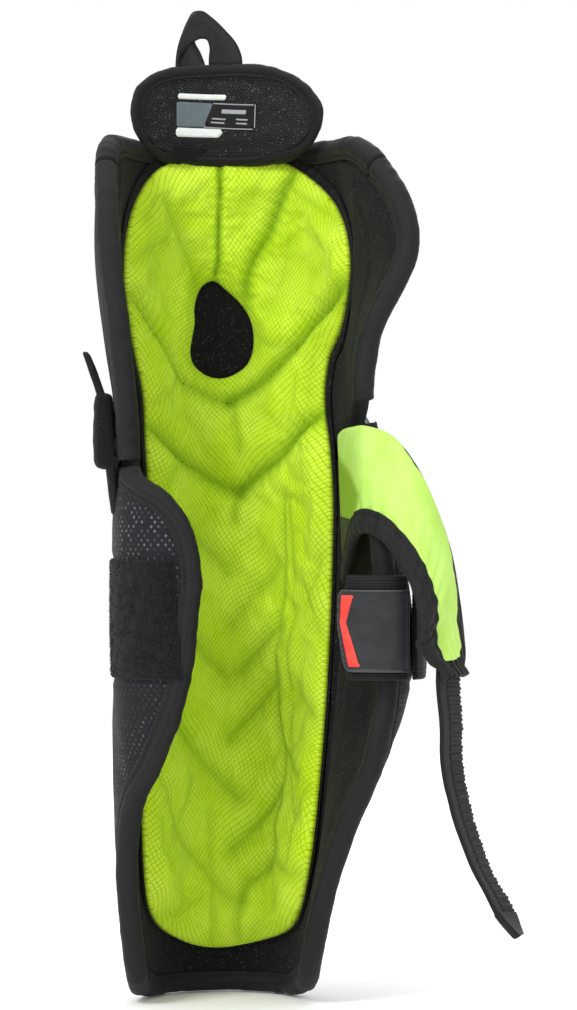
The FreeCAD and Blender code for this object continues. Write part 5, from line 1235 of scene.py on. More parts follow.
# ======================================================================
# thigh flap with its label and the ribbon loop
# ======================================================================
def flap_y(x, z): return 45.0 - 0.0100 * (x + 3) ** 2 - 0.22 * (z - 400)
def flap_at(x, z, d):
    """Point of the flap; d towards the leg is negative."""
    x, z, d = np.broadcast_arrays(np.asarray(x, float), np.asarray(z, float), np.asarray(d, float))
    return np.stack([x, flap_y(x, z) + d, z], -1)
FO = [(-29, 390.0), (-35.5, 392.8), (-39.6, 397.5), (-42.0, 403.5), (-42.5, 410.5), (-41, 416), (-36.5, 421), (-28, 424.6), (-15, 426.4), (3, 427.1), (14, 426.2), (24.3, 422.8), (31.3, 417.2), (36.2, 411.2), (37.3, 405.4), (35.4, 399.8), (31, 394.3), (24, 390.8)]
fp = resample(FO, 2.0)
flap_poly = np.vstack([fp, [(15, 389.4), (0, 389.0), (-15, 389.0)]])
P, Q, rim = clip_grid(flap_poly, 1.3)
e = rim_dist(P, flap_poly)
xl_, xr_ = -26.5 + 0.0 * P[:, 1], 14.5 + 0.0 * P[:, 1]
lines = [[(-27.5, 392), (-27.2, 410), (-27.0, 423.2)], [(12.5, 392), (13.5, 410), (16.5, 420.5)], [(-26.8, 423.4), (-10, 423.6), (8, 423.4), (17, 420.6), (27, 415)]]
q = 0
for l in lines:
    d, _ = seg_dist(P, [tuple(x) for x in resample(l, 2)])
    q = q - 1.1 * np.exp(-(d / 1.1) ** 2)
crown = 1.5 * (1 - (1 - np.clip((e - 3.5) / 9.0, 0, 1)) ** 2)
inp = inside(P, np.array([(-26, 397), (-26, 423), (15, 423), (13, 397)]))
lower = sstep(404, 397, P[:, 1]) * 1.2
T = 3.9 + crown + q * np.clip(e / 4, 0, 1) + 0.16 * wob2(P[:, 0], P[:, 1], 41, 12) - 0.5 * inp + lower
front = flap_at(P[:, 0], P[:, 1], 3.9 + 0.8 * (1 - (1 - np.clip((e - 3.5) / 9.0, 0, 1)) ** 2))
flap = clip_slab("thigh_flap_pad", P, Q, rim, flap_at(P[:, 0], P[:, 1], -T), front, [M_FLAP, M_COVER], fm=(0, 1, 1))
FB = ("knee", "flap", (0, 0, 0.3935), (0, 0, 0.4035))
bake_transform(flap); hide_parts("thigh_flap", "flap_stiffener")
def flap_T(x, z):
    q_ = np.array([[x, z]]); k = np.argmin(np.hypot(P[:, 0] - x, P[:, 1] - z))
    return T[k]
# binding of the flap; its ends run down behind the pad
FO2 = [(-24, 389.4)] + FO + [(19, 390.0)]
nf, _ = outline_normals(resample(FO2, 3.0))
cen = np.array([-3, 408.0])
fr = resample(FO2, 3.0)
sgn = 1 if np.mean(np.einsum("ij,ij->i", nf, fr - cen)) > 0 else -1
FO3 = [tuple(x) for x in fr + nf * sgn * 1.5]
binding("flap_edge", FO3, sgn, blend=FB, seed=45, place=flap_at, nodes=("flap_binding",), scale=1.0, w_scale=0.68)
LOW = [(-31, 390.2), (-22, 388.4), (-10, 387.6), (2, 387.6), (14, 388.4), (26, 390.4)]
nl, _ = outline_normals(resample(LOW, 3.0))
binding("flap_edge_low", LOW, 1 if np.median(nl[:, 1]) < 0 else -1, blend=FB, seed=46, place=lambda x, z, d: flap_at(x, z, d * 1.04), w_scale=0.7)
# sewn line under the loop
cs = []
ql = resample(lines[2], 2.6)
c = np.array([flap_at(x, z, -flap_T(x, z) - 0.05) for x, z in ql]); 
t = np.gradient(c, axis=0)
so = capsule_mesh("flap_stitches", c, t, np.tile([0, -1.0, 0], (len(c), 1)), 1.8, 0.24, M_THREAD)
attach(so, "flap")

def print_patch(name, corners, mat, d, thick=0.12, step=0.9, body="flap"):
    """Thin printed shape on the flap."""
    n = len(corners)
    pts = []
    for k in range(n):
        a, b = np.array(corners[k], float), np.array(corners[(k + 1) % n], float)
        m = max(int(np.hypot(*(b - a)) / 0.8), 2)
        pts += [a + (b - a) * i / m for i in range(m)]
    poly = np.array(pts)
    p, q, r = clip_grid(poly, step, relax=3)
    near = np.array([T[np.argmin(np.hypot(P[:, 0] - x, P[:, 1] - z))] for x, z in p])
    k = 0
    near = near + 0.22
    sm = near.copy()
    for i, (x, z) in enumerate(p):
        w = np.exp(-((p[:, 0] - x) ** 2 + (p[:, 1] - z) ** 2) / 1.2)
        sm[i] = (w @ near) / w.sum()
    ob = clip_slab(name, p, q, r, flap_at(p[:, 0], p[:, 1], -sm - d - thick), flap_at(p[:, 0], p[:, 1], -sm - d + 0.3), [mat], fm=(0, 0, 0))
    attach(ob, body)
    return ob
g = print_patch("label_slate", [(-26.2, 402.2), (-12.5, 402.2), (-8.4, 413.2), (-26.2, 413.6)], M_GREY, 0.06)
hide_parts("size_label")
print_patch("label_field", [(-13.9, 402.2), (9.4, 401.2), (10.2, 412.6), (-9.2, 413.4)], M_PBLACK, 0.24)
for nm, cc in (("label_line_top", [(-9.4, 412.9), (10.2, 412.1), (10.2, 412.6), (-9.2, 413.4)]), ("label_line_side", [(9.6, 401.2), (10.1, 401.2), (10.5, 412.6), (10.0, 412.6)]), ("label_line_foot", [(-13.9, 402.0), (9.8, 401.0), (9.8, 401.5), (-13.7, 402.5)])):
    print_patch(nm, cc, M_PLINE, 0.40, step=0.2)
for nm, x0, x1, z0, hgt in (("label_bar_a", -5.6, 5.8, 408.6, 1.9), ("label_bar_b", -10.2, -2.6, 405.9, 0.7), ("label_bar_c", 1.0, 7.4, 405.6, 0.7), ("label_bar_d", -10.8, -3.2, 404.2, 0.7), ("label_bar_e", 1.0, 7.2, 403.8, 0.7)):
    print_patch(nm, [(x0, z0), (x1, z0 - 0.4), (x1 + 0.3, z0 - 0.4 + hgt), (x0 + 0.3, z0 + hgt)], M_PLINE, 0.40, step=0.25)
print_patch("label_white", [(-26.6, 397.6), (-6.8, 397.6), (-3.4, 401.6), (-26.5, 401.8)], M_WHITE, 0.06)
print_patch("label_white_top", [(-25.8, 414.9), (-3.6, 414.7), (-3.0, 417.2), (-25.2, 417.4)], M_WHITE, 0.06, step=0.6)

# satin ribbon loop, doubled over and crossed at its top
def ribbon_surf(name, outer, inner, yo, yi, n=60, m=12, thick=0.45, body="loop", wave_seed=3, v_shift=0.0):
    def curve(pts, k):
        t = [0.0]
        for a, b in zip(pts[:-1], pts[1:]): t.append(t[-1] + math.dist(a, b))
        return [interp(t, [p[j] for p in pts], t[-1] * k) for j in range(len(pts[0]))]
    A = np.zeros((n + 1, m + 1, 3)); st = np.zeros((n + 1, m + 1, 2))
    o3 = [(x, yo[i], z) for i, (x, z) in enumerate(outer)]; i3 = [(x, yi[i], z) for i, (x, z) in enumerate(inner)]
    for i in range(n + 1):
        a = np.array(curve(o3, i / n)); b = np.array(curve(i3, i / n))
        for j in range(m + 1):
            w = j / m
            A[i, j] = a + (b - a) * w
            A[i, j, 1] -= 1.0 * math.sin(math.pi * w) * 1.1
            st[i, j] = (i / n * 44.0 + v_shift, (w - 0.5) * 14.0)
    du = np.gradient(A, axis=0); dv = np.gradient(A, axis=1)
    N = np.cross(du, dv); N /= np.linalg.norm(N, axis=2, keepdims=True)
    ob = slab(name, A - N * thick / 2, A + N * thick / 2, st, [M_SATIN], fm=(0, 0, 0))
    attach(ob, body)
    return ob
yb = lambda z, o: 46.4 - 0.10 * (z - 424) + o
# right leg and the band that crosses over to the left
outer = [(3.8, 421.5), (4.1, 428), (4.0, 435.0), (1.6, 441.2), (-3.8, 447.6), (-10.2, 453.6), (-14.6, 456.4), (-18.4, 456.0), (-21.6, 451.2), (-24.6, 443.5)]
inner = [(-11.6, 421.5), (-11.5, 428), (-11.4, 434.5), (-11.2, 440.4), (-12.4, 443.2), (-15.2, 443.6), (-18.4, 442.2), (-21.4, 439.6), (-23.8, 436.0), (-26.0, 431.0)]
rb = ribbon_surf("loop_ribbon_front", outer, inner, [yb(z, -5.6 if i > 1 else -4.2 - i * .7) for i, (x, z) in enumerate(outer)], [yb(z, -5.2 if i > 1 else -4.2 - i * .6) for i, (x, z) in enumerate(inner)])
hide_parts("pull_loop")
outer = [(-26.6, 421.5), (-27.0, 428), (-26.9, 434), (-26.0, 440), (-23.6, 447), (-20.4, 452), (-17.0, 455.4)]
inner = [(-11.8, 421.5), (-12.0, 427), (-13.4, 432.5), (-15.6, 438.0), (-18.0, 442.6), (-17.0, 449), (-13.6, 454)]
ribbon_surf("loop_ribbon_back", outer, inner, [yb(z, -3.6 + 0.05 * (z - 421)) for x, z in outer], [yb(z, -3.4 + 0.09 * (z - 421)) for x, z in inner], v_shift=60.0)

# ======================================================================
# neoprene wrap with its bound edge, and the ribbed strap
# ======================================================================
def wp(a, b, y):
    f = 1 + y / 1700.0
    return (a * 0.455 * f + 25.7, y, 226.6 - b * 0.455 * f)
WRAP_A = np.array([wp(*p) for p in [(48.5,-68,-3),(55,-75,-19),(64,-78,-36),(79,-79,-51),(104,-69,-58),(126,-42,-62),(141,-7,-64),(154,30,-64),(162,65,-63),(168.5,105,-61),(173.5,140,-60),(173,163,-60)]])
WRAP_B = np.array([wp(*p) for p in [(54.5,85,-3),(59.5,50,-19),(66,20,-36),(75.5,7,-53.5),(94.5,12,-65),(113.5,30,-71),(128.5,53,-75.5),(139.5,80,-78),(144.5,105,-79),(143,130,-80),(147.5,150,-81),(155.5,163,-81)]])
IDX = list(range(12))
def wrap_edges(t):
    st = min(max(t, 0.0), 1.0) * 11
    a = np.array([interp(IDX, list(WRAP_A[:, k]), st) for k in range(3)])
    b = np.array([interp(IDX, list(WRAP_B[:, k]), st) for k in range(3)])
    if t > 1.0:
        dn_ = np.array([0.6, 0.0, -1.0]) * (t - 1.0) * 140.0
        a, b = a + dn_ * 0.7, b + dn_
    c = (a - b) / np.linalg.norm(a - b)
    return a + c * np.interp(st, [0, 4, 5, 6, 7, 8, 9, 10, 11], [0, 0, 0.2, 2.0, 2.4, 3.0, 3.1, 1.7, 0.7]), b
def wrap_grid(ts, ws):
    """Middle surface of the wrap and its normal, for arrays of stations and widths."""
    E = [wrap_edges(t) for t in ts]
    A = np.array([e[0] for e in E]); B = np.array([e[1] for e in E])
    P = B[:, None] + (A - B)[:, None] * ws[None, :, None]
    du = np.gradient(P, axis=0); dv = np.gradient(P, axis=1)
    N = np.cross(dv, du); N /= np.linalg.norm(N, axis=2, keepdims=True)
    return P, N
ts = np.linspace(0.055, 1.035, 180); ws = np.linspace(-0.02, 1.0, 54)
Pw, Nw = wrap_grid(ts, ws)
if Nw[80, 20, 1] > 0: Nw = -Nw          # towards the leg side
arc_t = np.concatenate([[0], np.cumsum(np.linalg.norm(np.diff(Pw[:, 23], axis=0), axis=1))])
wid = np.linalg.norm(Pw[:, -1] - Pw[:, 0], axis=1)
TT, WW = np.meshgrid(arc_t, ws, indexing="ij")
WM = (ws[None] + 0.02) * wid[:, None] / 1.02
edge_d = np.minimum(WM, wid[:, None] - WM)
soft = 1 - (1 - np.clip(edge_d / 2.2, 0, 1)) ** 2
und = 0.9 * wob2(TT, WM, 61, 42) + 0.35 * wob2(TT, WM, 62, 15)
# gathers that run in from the bound edge and from the narrow tip
gat = 0.55 * np.sin(TT / 7.5 * 6.283 + 0.09 * WM) * np.exp(-WM / 7.0) * sstep(20, 45, TT)
gat = gat + 0.5 * np.sin(WM / 4.6 * 6.283) * sstep(arc_t[-1] - 34, arc_t[-1] - 4, TT) * 0.7
bulge = 1.3 * np.sin(np.pi * np.clip(WM / np.maximum(wid[:, None], 1), 0, 1)) * sstep(24, 60, TT)
off = (und * 0.8 + gat) * np.clip(edge_d / 3.0, 0, 1) * sstep(0, 14, TT) + bulge
th = 0.5 + 1.15 * soft
A = Pw + Nw * (off + th)[..., None]; B = Pw + Nw * (off - th)[..., None]
# black strip outside the wavy lime boundary, from the middle of the wrap on
tn = ts[:, None] * np.ones_like(ws)[None]
stn = tn * 11
black_w = np.interp(stn, [4.2, 4.6, 5.0, 5.34, 5.6, 5.9, 6.42, 6.82, 7.13, 7.93, 8.3, 8.72, 9.2, 9.8, 10.33, 10.62, 10.80], [-0.6, 0.9, 1.7, 1.3, 0.2, 0.3, 1.2, 1.3, 1.6, 3.4, 2.4, 2.2, 3.9, 3.6, 5.0, 7.8, 34]) + 0.18 * np.sin(tn * 151 + 1) * (stn > 4.3)
black_w = np.where(black_w > 0, black_w / np.interp(stn, [5, 6, 7, 8, 9, 10, 11], [1, 0.94, 0.79, 0.62, 0.52, 0.57, 0.4]), black_w)
root_blk = sstep(223.0, 219.5, Pw[..., 2] + 0.25 * (stn - 1.0) * 4) * (stn < 2.8)
blk = np.maximum(np.clip((black_w - (wid[:, None] - WM)) * 1.6 + 0.5, 0, 1), root_blk)
# painted shade: left of this fold line near the root the lime is darkened, for the shade where the wrap turns away
# behind itself
foldx = np.interp(Pw[..., 2], [215, 221, 231, 245, 257, 262], [52, 56.4, 59.6, 53.0, 46.0, 40.0])
fold_shade_mask = sstep(-0.6, 2.4, foldx - Pw[..., 0]) * (stn < 4)
st2 = np.stack([TT, WM], -1)
wrap = slab("neoprene_wrap_cover", A, B, st2, [M_NEO, M_NEO_IN], fm=(0, 1, 1))
# the vertex factor dark carries the painted fold shade to the wrap material
for nm, arr in (("black", blk), ("dark", fold_shade_mask)):
    a = wrap.data.attributes.new(nm, "FLOAT", "POINT")
    a.data.foreach_set("value", np.concatenate([arr.ravel(), arr.ravel()]).astype(np.float32))
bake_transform(wrap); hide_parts("neoprene_wrap", "wrap_root")

# bound lower edge of the wrap
tb = np.linspace(0.055, 1.03, 200)
E = [wrap_edges(t) for t in tb]
EA = np.array([e[0] for e in E]); EB = np.array([e[1] for e in E])
cross = EA - EB; wl = np.linalg.norm(cross, axis=1, keepdims=True); cross = cross / wl
tan = np.gradient(EB, axis=0); tan /= np.linalg.norm(tan, axis=1, keepdims=True)
nb = np.cross(tan, cross); nb /= np.linalg.norm(nb, axis=1, keepdims=True)
if nb[90, 1] > 0: nb = -nb
ab = np.concatenate([[0], np.cumsum(np.linalg.norm(np.diff(EB, axis=0), axis=1))])
C = len(tb); m = len(BPROF)
V = np.zeros((C, m, 3))
bw = np.interp(tb * 11, [0, 2, 4, 5, 6, 7, 8, 9, 10, 11], [9.0, 9.8, 11.8, 13.6, 15.4, 17.4, 17.4, 14.8, 9.8, 5.5])
for j, (w, d) in enumerate(BPROF):
    ww = (4.7 - w) / 9.3 * bw + 0.18 * wob(ab, 81, 8.0) * (w < -3) - bw + 1.2
    dd = d * 0.52 * (1 + 0.04 * wob(ab, 82, 9.0)) + (0.10 * np.cos(ab / 3.4 * 6.283) * (1 if -3.6 < w < -1.9 else 0)) + 0.35 * np.sin(ab / 7.5 * 6.283) * sstep(20, 45, ab)
    V[:, j] = EB + cross * ww[:, None] + nb * dd[:, None] * -1
faces = grid_faces(C, m, wrap=True).tolist() + [list(range(m)), [(C - 1) * m + j for j in range(m - 1, -1, -1)]]
wb = weld_flip(mesh_obj("wrap_edge", V.reshape(-1, 3), faces, M_BIND, st=np.stack([np.repeat(ab, m), np.tile(BRUN, C)], 1)))
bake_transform(wb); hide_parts("wrap_binding")
# its stitches, both faces
q = np.arange(2.0, ab[-1] - 2, 3.4)
def at_len(arr, x): return np.stack([np.interp(x, ab, arr[:, k]) for k in range(3)], 1)
cs, tsn, nsn = [], [], []
for sg in (1, -1):
    c = at_len(EB, q) + at_len(cross, q) * (np.interp(q, ab, bw) * -0.215 + 1.2)[:, None] + at_len(nb, q) * (sg * 2.35 + 0.35 * -np.sin(q / 7.5 * 6.283) * sstep(20, 45, q))[:, None]
    cs.append(c); tsn.append(at_len(tan, q)); nsn.append(at_len(nb, q) * sg)
ws_ = capsule_mesh("wrap_edge_stitches", np.vstack(cs), np.vstack(tsn), np.vstack(nsn), 2.2, 0.26, M_THREAD)
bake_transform(ws_)

# ribbed elastic strap that hangs from the wrap's tip
ST_N = [(145.5,176),(149.5,235),(153.5,275),(158.5,295),(169.5,335),(186.5,375),(204.5,409),(231.5,436)]
ST_F = [(171.5,176),(173.5,235),(177.5,275),(181.5,295),(191.5,335),(206.5,375),(226.5,409),(233.5,433)]
NR = np.array([wp(a, b, -81) for a, b in ST_N]); FR_ = np.array([wp(a, b, -59) for a, b in ST_F])
I8 = list(range(8))
def strap_ends(t):
    st = t * 7
    if t < 0:
        up = np.array([0.6, 0.0, 59 * 0.455 * 0.96]) * -st
        return NR[0] + up, FR_[0] + up
    return np.array([interp(I8, list(NR[:, k]), st) for k in range(3)]), np.array([interp(I8, list(FR_[:, k]), st) for k in range(3)])
def strap_grid(t0, t1, nt, nw, seed, scallop=0.35, rib=0.30, half=1.1, top_taper=0.0):
    tt = np.linspace(t0, t1, nt); E = [strap_ends(t) for t in tt]
    N_ = np.array([e[0] for e in E]); F_ = np.array([e[1] for e in E])
    mid_ = (N_ + F_) / 2; a = np.concatenate([[0], np.cumsum(np.linalg.norm(np.diff(mid_, axis=0), axis=1))])
    w = np.linspace(0, 1, nw)
    wd = np.linalg.norm(F_ - N_, axis=1)
    tan = np.gradient(mid_, axis=0); tan /= np.linalg.norm(tan, axis=1, keepdims=True)
    cr = (F_ - N_) / wd[:, None]
    nr_ = np.cross(tan, cr); nr_ /= np.linalg.norm(nr_, axis=1, keepdims=True)
    if nr_[nt // 2, 1] > 0: nr_ = -nr_
    sc = scallop * np.sin(a / 8.6 * 6.283 + 0.9 * np.sin(a / 13.0)) + 0.22 * wob(a, seed, 7.0)
    mid_ = mid_ + cr * (wd * 0.03)[:, None]; wd = wd * 0.84
    P_ = np.zeros((nt, nw, 3)); 
    for j, ww in enumerate(w):
        k = (ww - 0.5) * 2
        P_[:, j] = mid_ + cr * ((wd / 2 + sc * (abs(k) ** 2) * (1.0 if k > 0 else 0.1)) * k)[:, None]
    gath = sstep(0.30, 0.40, w)[None]
    ribs = rib * np.sin(a / 1.9 * 6.283 + 1.3 * np.sin(a / 7.0))[:, None] * gath + rib * 0.7 * np.sin(a / 4.3 * 6.283)[:, None] * gath - 0.45 * np.exp(-((w - 0.33) / 0.035) ** 2)[None] * (rib > 0.1) + 0.5 * wob(a, seed + 3, 26)[:, None]
    edge = np.minimum(w, 1 - w)[None] * wd[:, None]
    h = half * (0.45 + 0.55 * (1 - (1 - np.clip(edge / 1.2, 0, 1)) ** 2))
    base = 0.5 * wob(a, seed + 3, 26)[:, None]
    A_ = P_ + nr_[:, None] * (h + ribs)[..., None]; B_ = P_ + nr_[:, None] * (-h - ribs + 2 * base)[..., None]
    AA, W2 = np.meshgrid(a, (w - 0.5), indexing="ij")
    return A_, B_, np.stack([AA, W2 * wd[:, None]], -1), (mid_, cr, nr_, wd, a)
A_, B_, st_, _ = strap_grid(-0.035, 0.86, 420, 34, 91)
rs = slab("ribbed_elastic", A_, B_, st_, [M_RIB], fm=(0, 0, 0))
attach(rs, "ribbed_strap"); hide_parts("ribbed_strap")
A_, B_, st_, inf = strap_grid(0.855, 0.985, 60, 20, 92, scallop=0.12, rib=0.05, half=1.45)
tip = slab("strap_tip", A_, B_, st_, [M_RIB], fm=(0, 0, 0))
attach(tip, "ribbed_strap"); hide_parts("strap_hook_tip")
# small hooks on the back of the tip
mid_, cr, nr_, wd, a = inf
r = np.random.default_rng(3)
c_, n_, t_ = [], [], []
for i in range(2, len(a) - 2, 2):
    for k in np.linspace(-0.40, 0.40, max(int(wd[i] / 1.3), 1)):
        p0 = mid_[i] + cr[i] * wd[i] * k - nr_[i] * 1.75
        c_.append(p0); n_.append(-nr_[i]); t_.append(cr[i] * (1 if i % 4 else -1))
hk = capsule_mesh("strap_tip_hooks", np.array(c_), np.array(t_), np.array(n_), 0.8, 0.22, M_HOOK)
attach(hk, "ribbed_strap")
# box stitch where the strap is sewn to the wrap, in yellow thread, with a few loose ends
A0, B0 = strap_ends(0.0)
cr0 = (B0 - A0); wd0 = np.linalg.norm(cr0); cr0 /= wd0
dn = strap_ends(0.03)[0] - A0; dn /= np.linalg.norm(dn)
nn0 = np.cross(dn, cr0); nn0 /= np.linalg.norm(nn0)
if nn0[1] > 0: nn0 = -nn0
cc, tt_, nn2 = [], [], []
for row in range(3):
    for k in np.linspace(0.12, 0.88, 7):
        p0 = A0 + cr0 * wd0 * k + dn * (-8.4 + row * 2.2) + nn0 * 2.4
        cc.append(p0); tt_.append(cr0 + dn * r.normal(0, 0.15)); nn2.append(nn0)
for _ in range(9):
    p0 = A0 + cr0 * wd0 * r.uniform(0.05, 0.95) + dn * r.uniform(-10, -3) + nn0 * 2.6
    cc.append(p0); tt_.append(cr0 * r.normal() + dn * r.normal()); nn2.append(nn0)
ys = capsule_mesh("yellow_stitches", np.array(cc), np.array(tt_), np.array(nn2), 2.1, 0.24, M_THREAD_Y)
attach(ys, "wrap")

# ======================================================================
# calf strap: webbing with the moulded tab
# ======================================================================
def plan_ribbon(path, shift, halfs, zs, nt=60, t0=0.0, t1=1.0, body="calf_strap"):
    """Upright band over a plan curve: returns its plan points at nt stations from t0 to t1, their normals and the
    length along it; halfs is not used.
    """
    q = resample(path, 0.4)
    k0, k1 = int(t0 * (len(q) - 1)), int(t1 * (len(q) - 1))
    t = np.gradient(q, axis=0); t /= np.linalg.norm(t, axis=1, keepdims=True)
    n = np.stack([-t[:, 1], t[:, 0]], 1)
    ii = np.linspace(k0, k1, nt); q = np.stack([np.interp(ii, np.arange(len(q)), q[:, k]) for k in range(2)], 1)
    n = np.stack([np.interp(ii, np.arange(len(n)), n[:, k]) for k in range(2)], 1)
    a = np.concatenate([[0], np.cumsum(np.hypot(*np.diff(q, axis=0).T))])
    return q, n, a
STRAP = [(77.6, -66.6), (74, -69.2), (68, -70.6), (61, -69.6), (55, -66.6), (49.2, -62.4)]
ROOT = [(84.6, -34), (85.4, -42), (85.2, -50), (83.6, -57.5), (80.6, -62.8)]
def band_piece(name, path, z0, z1, shift, half, mat, body, nodes, t0=0.0, t1=1.0, rib=0.12, seed=1, nt=70, nz=60, round_=1.0):
    q, n, a = plan_ribbon(path, shift, half, None, nt, t0, t1)
    z = np.linspace(z0, z1, nz)
    A3, Z3 = np.meshgrid(a, z, indexing="ij")
    e = np.minimum(np.minimum(A3, a[-1] - A3), np.minimum(Z3 - z0, z1 - Z3))
    h = half * (0.4 + 0.6 * (1 - (1 - np.clip(e / round_, 0, 1)) ** 2)) + rib * np.sin(Z3 / 1.9 * 6.283)
    wv = 0.25 * wob2(A3, Z3, seed, 22)
    def face(sg):
        o = shift + sg * h + wv
        P_ = np.zeros(A3.shape + (3,))
        P_[..., 0] = q[:, 0][:, None] + n[:, 0][:, None] * o; P_[..., 1] = q[:, 1][:, None] + n[:, 1][:, None] * o; P_[..., 2] = Z3
        return P_
    ob = slab(name, face(1), face(-1), np.stack([A3, Z3 - z0], -1), mat if isinstance(mat, list) else [mat], fm=(0, 0, 0))
    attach(ob, body)
    if nodes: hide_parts(*nodes)
    return ob
band_piece("calf_strap_webbing_root", ROOT, 150, 196, 0, 1.25, M_RIB, "right_wing", ("calf_strap_root",), seed=5)
band_piece("calf_strap_webbing", STRAP, 150, 196, 0, 1.25, M_RIB, "calf_strap", ("calf_strap_band",), t1=0.93, seed=6)

# tab: rounded plate with a raised rim, a sunk field, a red chevron and rows of stitches
q, n, a = plan_ribbon(STRAP, 0, 0, None, 120, 0.05, 1.0)
L = a[-1]
def tab_at(u, z, d):
    """Point of the tab: u along it from its root, z up, d out from the webbing, towards the leg side."""
    u = np.asarray(u, float)
    x = np.interp(u, a, q[:, 0]); y = np.interp(u, a, q[:, 1]); nx = np.interp(u, a, n[:, 0]); ny = np.interp(u, a, n[:, 1])
    return np.stack([x + nx * d, y + ny * d, z + 0 * u], -1)
SG = 1.0 if n[60, 1] < 0 else -1.0
Z0, Z1, R_ = 153.6, 189.6, 2.4
# the free end is a little pointed: (shift along u, z)
def end_u(z): return L + np.interp(z, [153.6, 158.0, 166.0, 175.0, 181.0, 186.0, 189.6], [-4.2, -3.0, -1.2, 0.3, 0.6, 0.1, -1.0])
zz = np.linspace(Z1, Z0, 26)
eu = end_u(zz)
eu[0] -= 1.3; eu[-1] -= 1.6; eu[1] -= 0.2; eu[-2] -= 0.3
tab_poly = [(0.5 + (eu[0] - 0.5) * k / 22, Z1) for k in range(22)] + list(zip(eu, zz)) + [(eu[-1] - (eu[-1] - 0.5) * k / 22, Z0) for k in range(1, 22)] + [(0.5, Z0 + (Z1 - Z0) * k / 20) for k in range(0, 20)]
tab_poly = np.array(tab_poly)
P, Q, rim = clip_grid(tab_poly, 0.55, relax=3)
e = rim_dist(P, tab_poly)
rimh = 0.55 * (1 - sstep(0.9, 1.5, e)) * sstep(-0.2, 0.5, P[:, 0] - 0)
rows = np.exp(-((np.abs(P[:, 1] - (Z0 + Z1) / 2) - 14.8) / 0.30) ** 2) * sstep(2, 3, e) * 0.30
d = 3.0 + rimh - rows + 0.5 * (1 - (1 - np.clip(e / 0.9, 0, 1)) ** 2) - 0.5
top = tab_at(P[:, 0], P[:, 1], SG * (d + 0.6)); bot = tab_at(P[:, 0], P[:, 1], SG * 1.55)
tab = clip_slab("tab_plate", P, Q, rim, top, bot, [M_TAB, M_TABRIM], fm=(0, 0, 1))
mi = np.zeros(len(tab.data.polygons), np.int32); tab.data.polygons.foreach_get("material_index", mi)
ctr = (P[Q].mean(1))
rimface = (rim_dist(ctr, tab_poly) < 1.0) & (ctr[:, 0] > 4)
mi[:len(Q)][rimface] = 1
tab.data.polygons.foreach_set("material_index", mi)
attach(tab, "calf_strap"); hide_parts("strap_tab")
# chevron near the free end
zc = (Z0 + Z1) / 2
CHEV = np.array([(L - 1.9, 187.4), (L - 8.2, 187.4), (L - 4.9, 175.2), (L - 11.2, 155.8), (L - 5.6, 155.8), (L - 1.1, 175.2)])
def fill_poly(name, poly, mat, d0, d1, body, step=0.5, at=None):
    pts = []
    m_ = len(poly)
    for k in range(m_):
        A_, B_ = poly[k], poly[(k + 1) % m_]
        c = max(int(np.hypot(*(B_ - A_)) / 0.45), 2)
        pts += [A_ + (B_ - A_) * i / c for i in range(c)]
    pl_ = np.array(pts)
    p, qd, r_ = clip_grid(pl_, step, relax=2)
    e_ = rim_dist(p, pl_)
    dd = d1 - 0.25 * (1 - np.clip(e_ / 0.5, 0, 1)) ** 2
    f = at or tab_at
    ob = clip_slab(name, p, qd, r_, f(p[:, 0], p[:, 1], SG * dd), f(p[:, 0], p[:, 1], SG * d0), [mat], fm=(0, 0, 0))
    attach(ob, body)
    return ob
cv = fill_poly("tab_chevron_band", CHEV, M_RED, 2.9, 3.75, "calf_strap")
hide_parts("tab_chevron")
for k, (u0, u1) in enumerate(((4.6, 6.4), (8.0, 9.8), (11.4, 13.2))):
    if u1 < L - 14:
        fill_poly("tab_dash_%d" % k, np.array([(u0, zc - 0.9), (u1, zc - 0.9), (u1 + 0.7, zc + 0.9), (u0 + 0.7, zc + 0.9)]), M_WHITE, 2.9, 3.3, "calf_strap", 0.3)
qs = np.arange(3.2, L - 12.0, 1.9)
c = np.vstack([tab_at(qs, np.full(len(qs), zc + sg * 14.8), SG * 3.0) for sg in (-1, 1)])
t = np.vstack([tab_at(qs + 0.2, np.full(len(qs), zc + sg * 14.8), SG * 3.0) - tab_at(qs, np.full(len(qs), zc + sg * 14.8), SG * 3.0) for sg in (-1, 1)])
nr0 = np.vstack([tab_at(qs, np.full(len(qs), 0), SG * 4.0) - tab_at(qs, np.full(len(qs), 0), SG * 3.0)] * 2)
ts_ = capsule_mesh("tab_stitches", c, t, nr0, 1.25, 0.2, M_THREAD)
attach(ts_, "calf_strap")
# hook pad on the other face of the webbing
hp_ = band_piece("tab_hooks", STRAP, 158, 187, -2.0 * SG if False else -2.0, 0.6, M_HOOK, "calf_strap", ("tab_hook_pad",), t0=0.35, t1=0.85, rib=0.0, seed=7)

